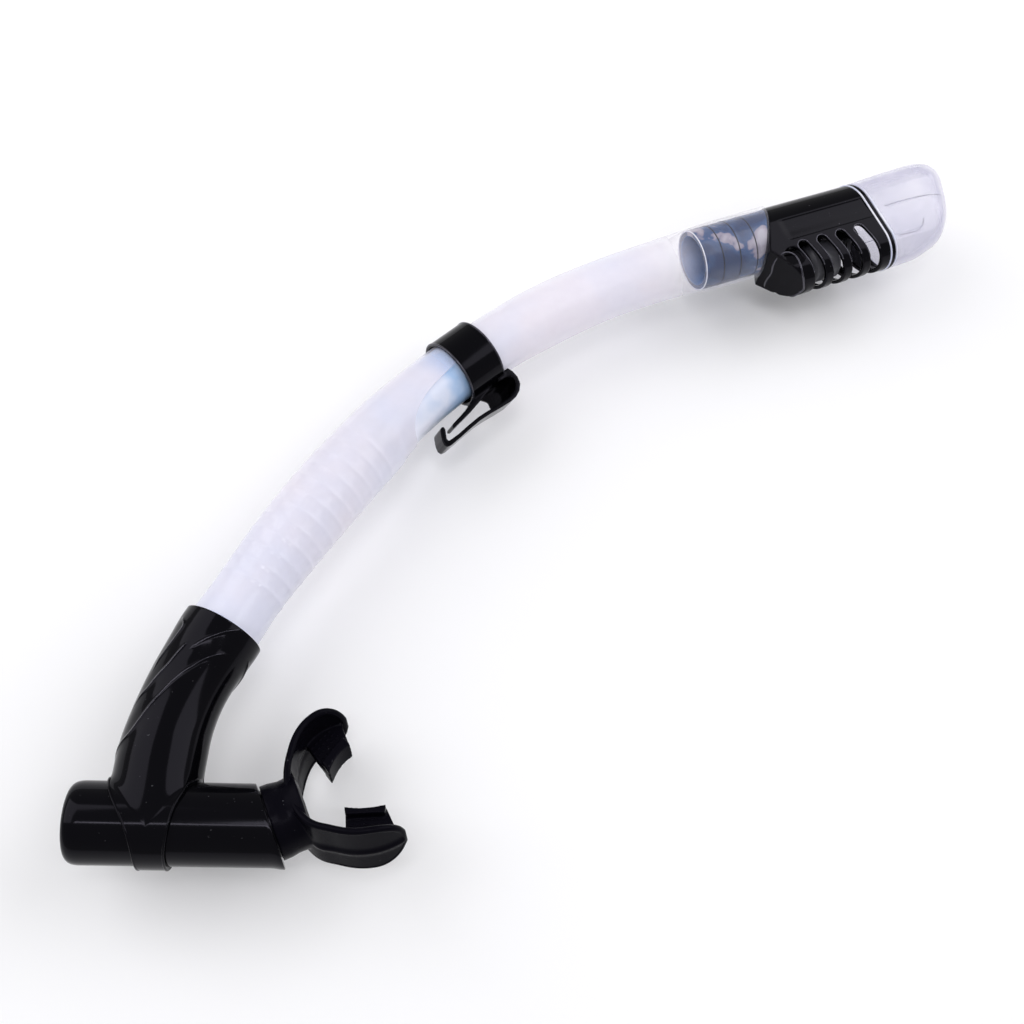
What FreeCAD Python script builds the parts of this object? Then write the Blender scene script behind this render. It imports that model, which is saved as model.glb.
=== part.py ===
import FreeCAD, Part
import math
import os
import re
import Sketcher
from FreeCAD import Placement, Rotation, Vector

# Dry-top snorkel tube lying on its side.
# X runs along the purge barrel, Y across the ground towards the dry top, Z is up.
# The centreline of barrel, elbow, hose and tube lies in one level plane, the middle plane.
# All sizes are millimetres and degrees.

doc = FreeCAD.newDocument("Snorkel")
sheet = doc.addObject("Spreadsheet::Sheet", "Sizes")

SIZES = [
    ("origin_x", 145.33, "barrel and elbow crossing, from the middle of the footprint in X"),
    ("origin_y", 143.04, "barrel and elbow crossing, from the middle of the footprint in Y"),
    ("middle_height", 20.36, "height of the middle plane over the ground"),
    # run of the centreline, starting upwards at the barrel axis
    ("rise_length", 13.0, "straight start of the elbow"),
    ("elbow_run", 43.5, "bent length of the elbow"),
    ("elbow_bend", 25.3, "turn of the elbow"),
    ("hose_run", 114.0, "slightly bent length of the hose"),
    ("hose_bend", 12.5, "turn over the hose run"),
    ("joint_run", 58.0, "length round the hose coupling"),
    ("joint_bend", 12.0, "turn round the hose coupling"),
    ("tube_run", 74.0, "bent length of the upper tube"),
    ("tube_bend", 15.3, "turn of the upper tube"),
    ("top_run", 30.0, "last bent length; the tube is straight after it"),
    ("top_bend", 3.0, "turn of the top run"),
    # purge barrel
    ("barrel_radius", 13.75, "outside of the barrel"),
    ("barrel_bore", 11.9, "inside of the barrel"),
    ("barrel_left", 27.0, "left end, from the elbow axis"),
    ("barrel_rounding", 4.2, "rounding of the left end"),
    ("barrel_lip_radius", 10.4, "opening in the left end"),
    ("barrel_lip", 2.2, "thickness of the left end's lip"),
    ("port_radius", 10.0, "air port from barrel to elbow"),
    ("mouth_x", 38.8, "middle of the barrel's slanted right end"),
    ("mouth_y", 0.6, "offset of the mouthpiece axis there"),
    ("mouth_angle", 23.0, "mouthpiece axis from the barrel axis"),
    ("end_plate", 2.5, "thickness of the slanted end plate"),
    # purge valve
    ("cover_thickness", 1.6, "slotted cover"),
    ("cover_slot_width", 1.8, "slot in the cover"),
    ("cover_slot_pitch", 4.2, "distance between the cover's slots"),
    ("diaphragm_radius", 9.4, "silicone diaphragm"),
    ("diaphragm_thickness", 1.0, "silicone diaphragm"),
    ("diaphragm_x", 19.5, "back of the diaphragm, from the elbow axis"),
    ("seat_thickness", 2.0, "spoked seat"),
    # elbow
    ("cuff_gap", 0.05, "between barrel and cuff"),
    ("cuff_radius", 15.0, "outside of the saddle cuff"),
    ("elbow_base_radius", 15.1, "elbow just over the barrel"),
    ("elbow_waist_radius", 14.2, "narrowest outside of the elbow"),
    ("elbow_rim_radius", 15.15, "collar at the top of the elbow"),
    ("elbow_bore", 10.6, "air way through the elbow"),
    ("elbow_end", 72.5, "top rim, along the centreline"),
    ("socket_start", 59.5, "floor of the hose socket"),
    ("socket_radius", 13.35, "hose socket in the elbow"),
    # hose
    ("hose_start", 60.0, "lower end of the hose, along the centreline"),
    ("hose_end", 213.0, "upper end of the hose"),
    ("hose_cuff_radius", 12.9, "smooth lower cuff of the hose"),
    ("hose_widest_radius", 14.4, "widest outside of the hose"),
    ("hose_top_radius", 12.9, "outside of the hose under the keeper"),
    ("hose_cuff_bore", 11.4, "inside of the lower cuff"),
    ("hose_bore", 12.25, "inside at the ribs"),
    ("hose_top_bore", 12.1, "inside round the coupling"),
    ("groove_start", 90.3, "first inner groove"),
    ("groove_pitch", 6.3, "distance between inner grooves"),
    ("groove_count", 12, "inner grooves"),
    ("groove_radius", 1.05, "section of one groove"),
    ("scoop_centre", 207.0, "centre of the scooped end, along the centreline"),
    ("scoop_drop", 14.0, "centre of the scoop below the centreline"),
    ("scoop_length", 30.0, "half length of the scoop"),
    ("scoop_depth", 10.7, "half height of the scoop"),
    # coupling and upper tube
    ("coupling_start", 171.0, "lower end of the coupling"),
    ("coupling_shoulder", 215.5, "step of the coupling"),
    ("coupling_end", 226.0, "upper end of the coupling"),
    ("coupling_radius", 12.0, "coupling inside the hose"),
    ("coupling_spigot", 10.95, "coupling inside the upper tube"),
    ("coupling_bore", 9.6, "air way through the coupling"),
    ("tube_start", 216.0, "lower end of the upper tube"),
    ("tube_radius", 12.45, "upper tube by the keeper"),
    ("tube_middle_radius", 12.9, "upper tube half way"),
    ("tube_top_radius", 14.6, "upper tube over the connector"),
    ("tube_bore", 11.05, "inside of the upper tube"),
    ("tube_top_bore", 13.2, "inside over the connector"),
    # dry top, measured from the upper sealing ring along its axis
    ("top_station", 357.5, "upper sealing ring, along the centreline"),
    ("connector_radius", 13.1, "connector in the tube"),
    ("connector_bore", 10.6, "air way through the connector"),
    ("connector_start", 24.5, "lower end of the connector"),
    ("connector_end", 14.0, "upper end of the connector"),
    ("ring_pitch", 8.1, "distance between the sealing rings"),
    ("ring_section", 0.45, "section of a sealing ring"),
    ("ring_track", 12.7, "middle circle of a sealing ring"),
    ("air_lobe", 13.6, "radius of the housing round the air way"),
    ("float_lobe", 11.5, "radius of the housing round the float"),
    ("lobe_distance", 18.0, "between the two lobes"),
    ("housing_wall", 1.6, "wall of the housing"),
    ("tube_end_x", 8.7, "slanted joint of tube and housing on the axis"),
    ("tube_end_angle", 23.0, "slant of that joint"),
    ("rim_x", 55.6, "joint of housing and trim ring on the axis"),
    ("rim_slant", 5.7, "slant of that joint"),
    ("trim_thickness", 2.2, "trim ring"),
    ("cap_wall", 1.3, "wall of the cap"),
    ("slot_start", 19.0, "first slot of the housing"),
    ("slot_pitch", 9.3, "distance between the slots"),
    ("slot_width", 5.2, "slot of the housing"),
    ("slot_top", 12.5, "top of the slots below the axis"),
    ("slot_lean", 17.0, "lean of the slots"),
    ("float_radius", 8.2, "float"),
    ("float_start", 22.0, "lower end of the float"),
    ("float_length", 14.0, "float"),
    ("pin_x", 47.5, "hinge pin along the axis"),
    ("pin_drop", 11.6, "hinge pin below the axis"),
    ("pin_radius", 0.8, "hinge pin"),
    ("flap_open", 30.0, "opening of the flap at rest"),
    ("flap_radius", 9.0, "silicone seal"),
    # keeper
    ("keeper_station", 218.0, "middle of the keeper, along the centreline"),
    ("keeper_roll", 17.0, "turn of the keeper about the tube, as it lies"),
    ("keeper_length", 17.0, "ring of the keeper"),
    ("keeper_radius", 14.65, "outside of the keeper's ring"),
    ("keeper_bore", 13.3, "inside of the keeper's ring"),
    ("keeper_width", 12.0, "arm of the keeper, across the tube"),
    # mouthpiece
    ("mouth_roll", 20.0, "roll of the mouthpiece about its axis at rest"),
    ("collar_radius", 11.6, "swivel collar"),
    ("collar_bore", 9.2, "air way through the collar"),
    ("flange_length", 26.0, "depth of the flange"),
    ("flange_half_width", 28.3, "half width of the flange"),
    ("flange_centre", 34.0, "widest place of the flange, from the barrel"),
    ("flange_wall", 2.2, "flange"),
    ("flange_half_height", 11.6, "half height of the flange"),
    ("flange_tip", 39.6, "tip of the flange, from the barrel"),
    ("tab_half_thickness", 1.5, "bite tab"),
    ("lug_half_height", 4.3, "lug of the bite tab"),
    ("bite_hollow", 25.3, "radius of the hollow in the bite tab's free edge"),
]
size = {}
for row, (alias, value, note) in enumerate(SIZES, start=1):
    sheet.set("A%d" % row, alias)
    sheet.set("B%d" % row, str(value))
    sheet.setAlias("B%d" % row, alias)
    sheet.set("C%d" % row, note)
    size[alias] = float(value)
doc.recompute()


def formula(text):
    """Turn the alias words of a size expression into references to the sheet."""
    return re.sub(r"[a-z]+(?:_[a-z]+)+", lambda word: "Sizes." + word.group(0), str(text))


def value_of(text):
    """Present value of a size expression."""
    return float(sheet.evalExpression(formula(text)))


def bind(thing, **properties):
    """Bind properties to size expressions; two underscores stand for a dot."""
    for name, text in properties.items():
        thing.setExpression(name.replace("__", "."), formula(text))
    return thing


# ---- places -------------------------------------------------------------------------------

RUNS = [
    ("rise_length", None),
    ("elbow_run", "elbow_bend"),
    ("hose_run", "hose_bend"),
    ("joint_run", "joint_bend"),
    ("tube_run", "tube_bend"),
    ("top_run", "top_bend"),
]


def on_path(station):
    """Point and direction (degrees) of the centreline at a length from the barrel axis."""
    x, y, heading, left = 0.0, 0.0, 90.0, station
    for length_name, bend_name in RUNS:
        run = size[length_name]
        bend = size[bend_name] if bend_name else 0.0
        part = min(left, run)
        turn = math.radians(bend * part / run)
        start = math.radians(heading)
        if turn:
            radius = part / turn
            x += radius * (math.sin(start) - math.sin(start - turn))
            y += radius * (math.cos(start - turn) - math.cos(start))
        else:
            x += part * math.cos(start)
            y += part * math.sin(start)
        heading -= math.degrees(turn)
        left -= part
    return x + left * math.cos(math.radians(heading)), y + left * math.sin(math.radians(heading)), heading


def placed(x, y, angle, lift=0.0, roll=0.0):
    """Placement whose local X points along a level direction."""
    turn = Rotation(Vector(0, 0, 1), angle) * Rotation(Vector(1, 0, 0), roll)
    base = Vector(x - size["origin_x"], y - size["origin_y"], size["middle_height"] + lift)
    return Placement(base, turn)


def path_frame(station):
    """Frame on the centreline: X along it, Y to its upper side, Z up."""
    return placed(*on_path(station))


BARREL = placed(0, 0, 0)
MOUTH_END = placed(size["mouth_x"], size["mouth_y"], size["mouth_angle"])
MOUTH = placed(size["mouth_x"], size["mouth_y"], size["mouth_angle"], roll=-size["mouth_roll"])
TOP = path_frame(size["top_station"])
KEEPER = placed(*on_path(size["keeper_station"]), roll=size["keeper_roll"])
FLAT = Placement()
ALONG_X = Placement(Vector(0, 0, 0), Rotation(Vector(0, 1, 0), 90))
ALONG_Y = Placement(Vector(0, 0, 0), Rotation(Vector(1, 0, 0), -90))
ACROSS = Placement(Vector(0, 0, 0), Rotation(Vector(0, 1, 0), Vector(0, 0, 1), Vector(1, 0, 0), "XYZ"))


def shifted(x=0.0, y=0.0, z=0.0, angle=0.0):
    """Placement inside a frame: a move, then a turn about the frame's Z."""
    return Placement(Vector(x, y, z), Rotation(Vector(0, 0, 1), angle))


# ---- building blocks ----------------------------------------------------------------------

def outline_in(sketch, points):
    """Closed polyline in a sketch, every corner bound to a pair of size expressions."""
    corners = [Vector(value_of(x), value_of(y), 0) for x, y in points]
    count = len(corners)
    for index in range(count):
        line = Part.LineSegment(corners[index], corners[(index + 1) % count])
        sketch.addGeometry(line, False)
    for index in range(count):
        sketch.addConstraint(Sketcher.Constraint("Coincident", index, 2, (index + 1) % count, 1))
    for index, (x, y) in enumerate(points):
        for axis, text, amount in (("X", x, corners[index].x), ("Y", y, corners[index].y)):
            if abs(amount) < 1e-9:
                on_axis = -2 if axis == "X" else -1
                sketch.addConstraint(Sketcher.Constraint("PointOnObject", index, 1, on_axis))
                continue
            number = sketch.addConstraint(Sketcher.Constraint("Distance" + axis, -1, 1, index, 1, amount))
            label = "corner%s%d" % (axis.lower(), index)
            sketch.renameConstraint(number, label)
            if re.search("[a-z]", str(text)):
                sketch.setExpression("Constraints." + label, formula(text))


def turned(name, points, where):
    """Body turned about its local X axis; points are (along X, radius)."""
    body = doc.addObject("PartDesign::Body", name)
    sketch = body.newObject("Sketcher::SketchObject", name + "_outline")
    plane = [f for f in body.Origin.OriginFeatures if f.Role == "XY_Plane"][0]
    sketch.AttachmentSupport = [(plane, "")]
    sketch.MapMode = "FlatFace"
    outline_in(sketch, points)
    revolution = body.newObject("PartDesign::Revolution", name + "_turn")
    revolution.Profile = sketch
    revolution.ReferenceAxis = (sketch, ["H_Axis"])
    revolution.Angle = 360.0
    body.Placement = where
    return body


def plate(name, points, half_height, where):
    """Flat piece: an outline in the frame's XY plane, thickened both ways."""
    sketch = doc.addObject("Sketcher::SketchObject", name + "_outline")
    outline_in(sketch, points)
    sketch.Placement = where
    return thickened(name, sketch, half_height)


def thickened(name, flat, half_height):
    """Solid made from a closed outline, the same height to both sides."""
    solid = doc.addObject("Part::Extrusion", name)
    solid.Base = flat
    solid.DirMode = "Normal"
    solid.Solid = True
    solid.Symmetric = True
    bind(solid, LengthFwd="2 * (%s)" % half_height)
    return solid


def rod(name, radius, length, where):
    """Cylinder along its local Z."""
    cylinder = doc.addObject("Part::Cylinder", name)
    bind(cylinder, Radius=radius, Height=length)
    cylinder.Placement = where
    return cylinder


def block(name, length, width, height, where):
    """Box whose corner is at the placement."""
    box = doc.addObject("Part::Box", name)
    bind(box, Length=length, Width=width, Height=height)
    box.Placement = where
    return box


def ball_ring(name, track, section, where):
    """Ring of round section about its local Z."""
    ring = doc.addObject("Part::Torus", name)
    bind(ring, Radius1=track, Radius2=section)
    ring.Placement = where
    return ring


def cut(name, base, tool):
    """First solid without the second."""
    result = doc.addObject("Part::Cut", name)
    result.Base = base
    result.Tool = tool
    return result


def joined(name, *solids):
    """Several solids as one."""
    result = doc.addObject("Part::MultiFuse", name)
    result.Shapes = list(solids)
    return result


def shared(name, *solids):
    """What several solids have in common."""
    result = doc.addObject("Part::MultiCommon", name)
    result.Shapes = list(solids)
    return result


def through_circles(name, stations):
    """Smooth solid along the centreline; stations are (length, radius), joined by even tapers."""
    sections = []
    for (start, first), (end, last) in zip(stations, stations[1:]):
        steps = max(1, round((value_of(end) - value_of(start)) / 6))
        for step in range(steps):
            share = step / steps
            station = (1 - share) * value_of(start) + share * value_of(end)
            sections.append((station, "%.4f * (%s) + %.4f * (%s)" % (1 - share, first, share, last)))
    sections.append((value_of(stations[-1][0]), stations[-1][1]))
    circles = []
    for index, (station, radius) in enumerate(sections):
        circle = doc.addObject("Part::Circle", "%s_circle%d" % (name, index))
        bind(circle, Radius=radius)
        circle.Placement = path_frame(station) * ALONG_X
        circles.append(circle)
    loft = doc.addObject("Part::Loft", name)
    loft.Sections = circles
    loft.Solid = True
    loft.Ruled = False
    return loft


nodes = []


def node(name, thing):
    """Name a finished piece."""
    thing.Label = name
    nodes.append(thing)
    return thing


def all_beyond(name, frame, x=0.0, angle=0.0):
    """Large block that covers everything past a plane across the frame's X."""
    return block(name, "90", "90", "90", frame * shifted(x=x, angle=angle) * shifted(y=-45, z=-45))


def rounded(body, name, radius, chosen):
    """Round the edges of a body for which chosen(edge) holds."""
    doc.recompute()
    base = body.Tip
    edges = ["Edge%d" % (i + 1) for i, edge in enumerate(base.Shape.Edges) if chosen(edge)]
    fillet = body.newObject("PartDesign::Fillet", name)
    fillet.Base = (base, edges)
    bind(fillet, Radius=radius)
    return body


def lobes(name, upper, lower, distance, where):
    """Outline round two circles with common tangents; the second lies below the first."""
    big, small, gap = value_of(upper), value_of(lower), value_of(distance)
    tilt = math.acos(-(big - small) / gap)
    up = Vector(math.cos(tilt), math.sin(tilt), 0)
    down = Vector(math.cos(tilt), -math.sin(tilt), 0)
    low = Vector(-gap, 0, 0)
    normal = Vector(0, 0, 1)
    sketch = doc.addObject("Sketcher::SketchObject", name)
    sketch.addGeometry(Part.ArcOfCircle(Part.Circle(Vector(), normal, big), -tilt, tilt), False)
    sketch.addGeometry(Part.ArcOfCircle(Part.Circle(low, normal, small), tilt, 2 * math.pi - tilt), False)
    sketch.addGeometry(Part.LineSegment(up * big, low + up * small), False)
    sketch.addGeometry(Part.LineSegment(low + down * small, down * big), False)
    for first, end, second, start in ((0, 2, 2, 1), (2, 2, 1, 1), (1, 2, 3, 1), (3, 2, 0, 1)):
        sketch.addConstraint(Sketcher.Constraint("Tangent", first, end, second, start))
    sketch.addConstraint(Sketcher.Constraint("Coincident", 0, 3, -1, 1))
    sketch.addConstraint(Sketcher.Constraint("PointOnObject", 1, 3, -1))
    for label, constraint, text in (
        ("gap", Sketcher.Constraint("DistanceX", 1, 3, -1, 1, gap), distance),
        ("big", Sketcher.Constraint("Radius", 0, big), upper),
        ("small", Sketcher.Constraint("Radius", 1, small), lower),
    ):
        sketch.renameConstraint(sketch.addConstraint(constraint), label)
        if re.search("[a-z]", text):
            sketch.setExpression("Constraints." + label, formula(text))
    sketch.Placement = where * ACROSS
    return sketch


def lobe_prism(name, wall, start, end):
    """Two-lobed bar along the dry top's axis, its outline moved inwards by a wall."""
    outline = lobes(name + "_outline", "air_lobe - (%s)" % wall, "float_lobe - (%s)" % wall,
                    "lobe_distance", TOP * shifted(x=start))
    bar = doc.addObject("Part::Extrusion", name)
    bar.Base = outline
    bar.DirMode = "Normal"
    bar.Solid = True
    bar.LengthFwd = end - start
    return bar


# ---- purge barrel -------------------------------------------------------------------------

barrel_tube = turned("barrel_tube", [
    ("-barrel_left", "barrel_lip_radius"),
    ("-barrel_left", "barrel_radius"),
    ("60", "barrel_radius"),
    ("60", "barrel_bore"),
    ("barrel_lip - barrel_left", "barrel_bore"),
    ("barrel_lip - barrel_left", "barrel_lip_radius"),
], BARREL)


def is_left_corner(edge):
    box = edge.BoundBox
    at_end = abs(box.XMax + size["barrel_left"]) < 0.01 and abs(box.XMin + size["barrel_left"]) < 0.01
    return at_end and abs(box.YMax - size["barrel_radius"]) < 0.01


rounded(barrel_tube, "barrel_edge", "barrel_rounding - 1", is_left_corner)
barrel_open = cut("barrel_open", barrel_tube, all_beyond("barrel_past_end", MOUTH_END))
barrel_ported = cut("barrel_ported", barrel_open,
                    rod("barrel_port", "port_radius", "20", BARREL * ALONG_Y))
end_slab = block("end_slab", "end_plate", "90", "90",
                 MOUTH_END * shifted(x=-size["end_plate"], y=-45, z=-45))
end_disc = shared("end_disc", end_slab, rod("end_round", "barrel_radius", "70", BARREL * ALONG_X))
swivel_bore = rod("swivel_bore", "barrel_bore", "6", MOUTH_END * shifted(x=-5) * ALONG_X)
node("barrel", cut("barrel_whole", joined("barrel_ended", barrel_ported, end_disc), swivel_bore))

# ---- purge valve --------------------------------------------------------------------------

COVER = BARREL * shifted(x=size["barrel_lip"] - size["barrel_left"])
cover_disc = rod("cover_disc", "barrel_bore - 0.1", "cover_thickness", COVER * ALONG_X)
cover_slots = []
for index, slot_length in enumerate((12.0, 17.0, 17.0, 12.0)):
    height = (index - 1.5) * size["cover_slot_pitch"] - size["cover_slot_width"] / 2
    corner = COVER * shifted(x=-1, y=-slot_length / 2, z=height)
    cover_slots.append(block("cover_slot%d" % index, "4", str(slot_length), "cover_slot_width", corner))
node("purge_cover", cut("purge_cover_whole", cover_disc, joined("cover_slots", *cover_slots)))

SEAT = BARREL * shifted(x=-size["diaphragm_x"])
seat_disc = rod("seat_disc", "barrel_bore - 0.1", "seat_thickness", SEAT * ALONG_X)
seat_holes = []
for index in range(6):
    angle = math.radians(60 * index)
    centre = SEAT * shifted(x=-1, y=5.6 * math.cos(angle), z=5.6 * math.sin(angle)) * ALONG_X
    seat_holes.append(rod("seat_hole%d" % index, "2.3", "5", centre))
node("purge_seat", cut("purge_seat_whole", seat_disc, joined("seat_holes", *seat_holes)))

node("purge_diaphragm", turned("diaphragm_disc", [
    ("-diaphragm_x - 0.05 - diaphragm_thickness", "0"),
    ("-diaphragm_x - 0.05 - diaphragm_thickness", "diaphragm_radius / 2"),
    ("-diaphragm_x - 0.05 - diaphragm_thickness / 2", "diaphragm_radius"),
    ("-diaphragm_x - 0.05", "diaphragm_radius"),
    ("-diaphragm_x - 0.05", "0"),
], BARREL))

# ---- elbow --------------------------------------------------------------------------------

elbow_outside = through_circles("elbow_outside", [
    ("1", "elbow_base_radius"),
    ("14", "elbow_base_radius"),
    ("25", "elbow_base_radius - 0.2"),
    ("36", "elbow_waist_radius + 0.15"),
    ("46", "elbow_waist_radius"),
    ("56", "elbow_waist_radius + 0.2"),
    ("63", "elbow_waist_radius + 0.6"),
    ("67", "elbow_rim_radius"),
    ("elbow_end", "elbow_rim_radius"),
])
elbow_airway = through_circles("elbow_airway", [
    ("0", "elbow_bore"),
    ("20", "elbow_bore"),
    ("40", "elbow_bore + 0.2"),
    ("socket_start + 1", "elbow_bore + 0.5"),
])
hose_socket = through_circles("hose_socket", [
    ("socket_start", "socket_radius"),
    ("socket_start + 7", "socket_radius"),
    ("elbow_end + 1", "socket_radius"),
])
cuff_ring = turned("cuff_ring", [
    ("-15", "barrel_radius + cuff_gap"),
    ("-15", "cuff_radius"),
    ("16.4", "cuff_radius"),
    ("16.4", "barrel_radius + cuff_gap"),
], BARREL)
SADDLE = [
    (-15.0, 16.0), (-15.0, 13.6), (-12.0, 6.0), (-8.9, 0.7), (-6.1, -4.7), (-4.3, -9.9), (-3.3, -16.0),
    (6.4, -16.0), (6.7, -11.5), (7.3, -7.5), (8.2, -2.2), (9.4, 3.3), (11.0, 7.6), (13.2, 11.6),
    (16.4, 13.6), (16.4, 16.0),
]
saddle = plate("saddle", SADDLE, "20", BARREL)
cuff = shared("cuff", cuff_ring, saddle)
barrel_room = rod("barrel_room", "barrel_radius + cuff_gap", "90", BARREL * shifted(x=-45) * ALONG_X)
elbow_solid = joined("elbow_solid", elbow_outside, cuff)
elbow_hollows = joined("elbow_hollows", elbow_airway, hose_socket, barrel_room)
node("elbow", cut("elbow_whole", elbow_solid, elbow_hollows))

# ---- hose ---------------------------------------------------------------------------------

hose_outside = through_circles("hose_outside", [
    ("hose_start", "hose_cuff_radius + 0.1"),
    ("73", "hose_cuff_radius + 0.3"),
    ("83", "hose_cuff_radius"),
    ("92", "hose_cuff_radius"),
    ("106", "hose_cuff_radius + 0.6"),
    ("120", "hose_widest_radius - 0.4"),
    ("137", "hose_widest_radius"),
    ("156", "hose_widest_radius - 0.1"),
    ("174", "hose_widest_radius - 0.4"),
    ("186", "hose_top_radius + 0.5"),
    ("198", "hose_top_radius + 0.1"),
    ("hose_end", "hose_top_radius"),
])
hose_inside = through_circles("hose_inside", [
    ("hose_start - 1", "hose_cuff_bore"),
    ("74", "hose_cuff_bore"),
    ("88", "hose_cuff_bore"),
    ("100", "hose_cuff_bore + 0.5"),
    ("114", "hose_bore"),
    ("137", "hose_bore"),
    ("160", "hose_bore"),
    ("170", "hose_top_bore"),
    ("185", "hose_top_bore"),
    ("200", "hose_top_bore"),
    ("hose_end + 1", "hose_top_bore"),
])
grooves = []
for index in range(int(size["groove_count"])):
    station = size["groove_start"] + index * size["groove_pitch"]
    track = "hose_bore - 0.1" if station > 108 else "hose_cuff_bore + %.2f" % ((station - 88) / 25)
    where = path_frame(station) * ALONG_X * shifted(angle=40)
    grooves.append(ball_ring("groove%d" % index, track, "groove_radius", where))
scoop_outline = doc.addObject("Part::Ellipse", "scoop_outline")
bind(scoop_outline, MajorRadius="scoop_length", MinorRadius="scoop_depth")
scoop_outline.Placement = path_frame(size["scoop_centre"]) * shifted(y=-size["scoop_drop"])
scoop = thickened("scoop", scoop_outline, "20")
hose_wall = cut("hose_wall", hose_outside, hose_inside)
hose_grooved = cut("hose_grooved", hose_wall, joined("hose_grooves", *grooves))
node("hose", cut("hose_whole", hose_grooved, scoop))

# ---- coupling and upper tube --------------------------------------------------------------

coupling_body = through_circles("coupling_body", [
    ("coupling_start", "coupling_radius"),
    ("186", "coupling_radius"),
    ("200", "coupling_radius"),
    ("coupling_shoulder", "coupling_radius"),
])
coupling_neck = through_circles("coupling_neck", [
    ("coupling_shoulder - 1", "coupling_spigot"),
    ("220", "coupling_spigot"),
    ("coupling_end", "coupling_spigot"),
])
coupling_airway = through_circles("coupling_airway", [
    ("coupling_start - 1", "coupling_bore"),
    ("186", "coupling_bore"),
    ("206", "coupling_bore"),
    ("coupling_end + 1", "coupling_bore"),
])
node("hose_coupling", cut("coupling_whole", joined("coupling_solid", coupling_body, coupling_neck),
                          coupling_airway))

tube_outside = through_circles("tube_outside", [
    ("tube_start", "tube_radius"),
    ("232", "tube_radius"),
    ("250", "tube_middle_radius - 0.1"),
    ("270", "tube_middle_radius"),
    ("290", "tube_middle_radius - 0.15"),
    ("308", "tube_middle_radius"),
    ("322", "tube_top_radius - 1.3"),
    ("334", "tube_top_radius - 0.7"),
    ("346", "tube_top_radius - 0.3"),
    ("358", "tube_top_radius"),
    ("376", "tube_top_radius"),
])
tube_inside = through_circles("tube_inside", [
    ("tube_start - 1", "tube_bore"),
    ("232", "tube_bore"),
    ("250", "tube_bore"),
    ("270", "tube_bore"),
    ("290", "tube_bore"),
    ("306", "tube_bore"),
    ("318", "tube_bore + 0.6"),
    ("331", "tube_top_bore"),
    ("344", "tube_top_bore"),
    ("360", "tube_top_bore"),
    ("377", "tube_top_bore"),
])
tube_past_end = all_beyond("tube_past_end", TOP, size["tube_end_x"], -size["tube_end_angle"])
tube_filled = cut("tube_filled", tube_outside, tube_past_end)
node("upper_tube", cut("upper_tube_whole", tube_filled, tube_inside))

# ---- connector and its rings --------------------------------------------------------------

connector_wide = rod("connector_wide", "connector_radius", "connector_start + 40",
                     TOP * shifted(x=-size["connector_start"]) * ALONG_X)
connector_past = all_beyond("connector_past", TOP, size["tube_end_x"] - 0.1, -size["tube_end_angle"])
connector_cut = cut("connector_cut", connector_wide, connector_past)
connector_neck = rod("connector_neck", "air_lobe - housing_wall - 0.2", "connector_end + 2",
                     TOP * ALONG_X)
connector_airway = rod("connector_airway", "connector_bore", "connector_start + 50",
                       TOP * shifted(x=-size["connector_start"] - 1) * ALONG_X)
ring_names = ("connector_ring_upper", "connector_ring_middle", "connector_ring_lower")
ring_rooms = [connector_airway]
for index, ring_name in enumerate(ring_names):
    where = TOP * shifted(x=-index * size["ring_pitch"]) * ALONG_X
    ring_rooms.append(ball_ring(ring_name + "_room", "ring_track", "ring_section + 0.05", where))
    node(ring_name, ball_ring(ring_name, "ring_track", "ring_section", where))
node("top_connector", cut("connector_whole", joined("connector_solid", connector_cut, connector_neck),
                          joined("connector_hollows", *ring_rooms)))

# ---- valve housing ------------------------------------------------------------------------

housing_side = plate("housing_side", [
    ("tube_end_x + 6.45", "15"),
    ("tube_end_x - 5.5", "-13.2"),
    ("12.3", "-25.6"),
    ("15.4", "-28.8"),
    ("19.5", "-31"),
    ("60", "-31"),
    ("60", "15"),
], "20", TOP)
housing_past = all_beyond("housing_past", TOP, size["rim_x"], size["rim_slant"])
housing_solid = cut("housing_solid", shared("housing_block", housing_side,
                                            lobe_prism("housing_bar", "0", -20, 70)), housing_past)
cavity_side = plate("cavity_side", [
    ("tube_end_x + 8.1", "15"),
    ("tube_end_x - 3.8", "-13"),
    ("14", "-24.8"),
    ("16.6", "-27.4"),
    ("20.5", "-31"),
    ("70", "-31"),
    ("70", "15"),
], "20", TOP)
cavity = shared("cavity", cavity_side, lobe_prism("cavity_bar", "housing_wall", -20, 72))
tube_mouth = rod("tube_mouth", "air_lobe - housing_wall", "30", TOP * ALONG_X)
housing_cuts = [cavity, tube_mouth]
for index in range(4):
    top_of_slot = TOP * shifted(x=size["slot_start"] + index * size["slot_pitch"],
                                y=-size["slot_top"] - size["slot_width"] / 2, angle=size["slot_lean"])
    housing_cuts.append(block("slot%d" % index, "slot_width", "30", "40",
                              top_of_slot * shifted(x=-size["slot_width"] / 2, y=-30, z=-20)))
    housing_cuts.append(rod("slot_round%d" % index, "slot_width / 2", "40", top_of_slot * shifted(z=-20)))
for side, low in (("near", 10.4), ("far", -20.4)):
    housing_cuts.append(rod("dimple_" + side, "4.4", "10", TOP * shifted(x=12.6, y=-18.6, z=low)))
node("valve_housing", cut("housing_whole", housing_solid, joined("housing_hollows", *housing_cuts)))

# ---- valve seat, flap and float -----------------------------------------------------------

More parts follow.
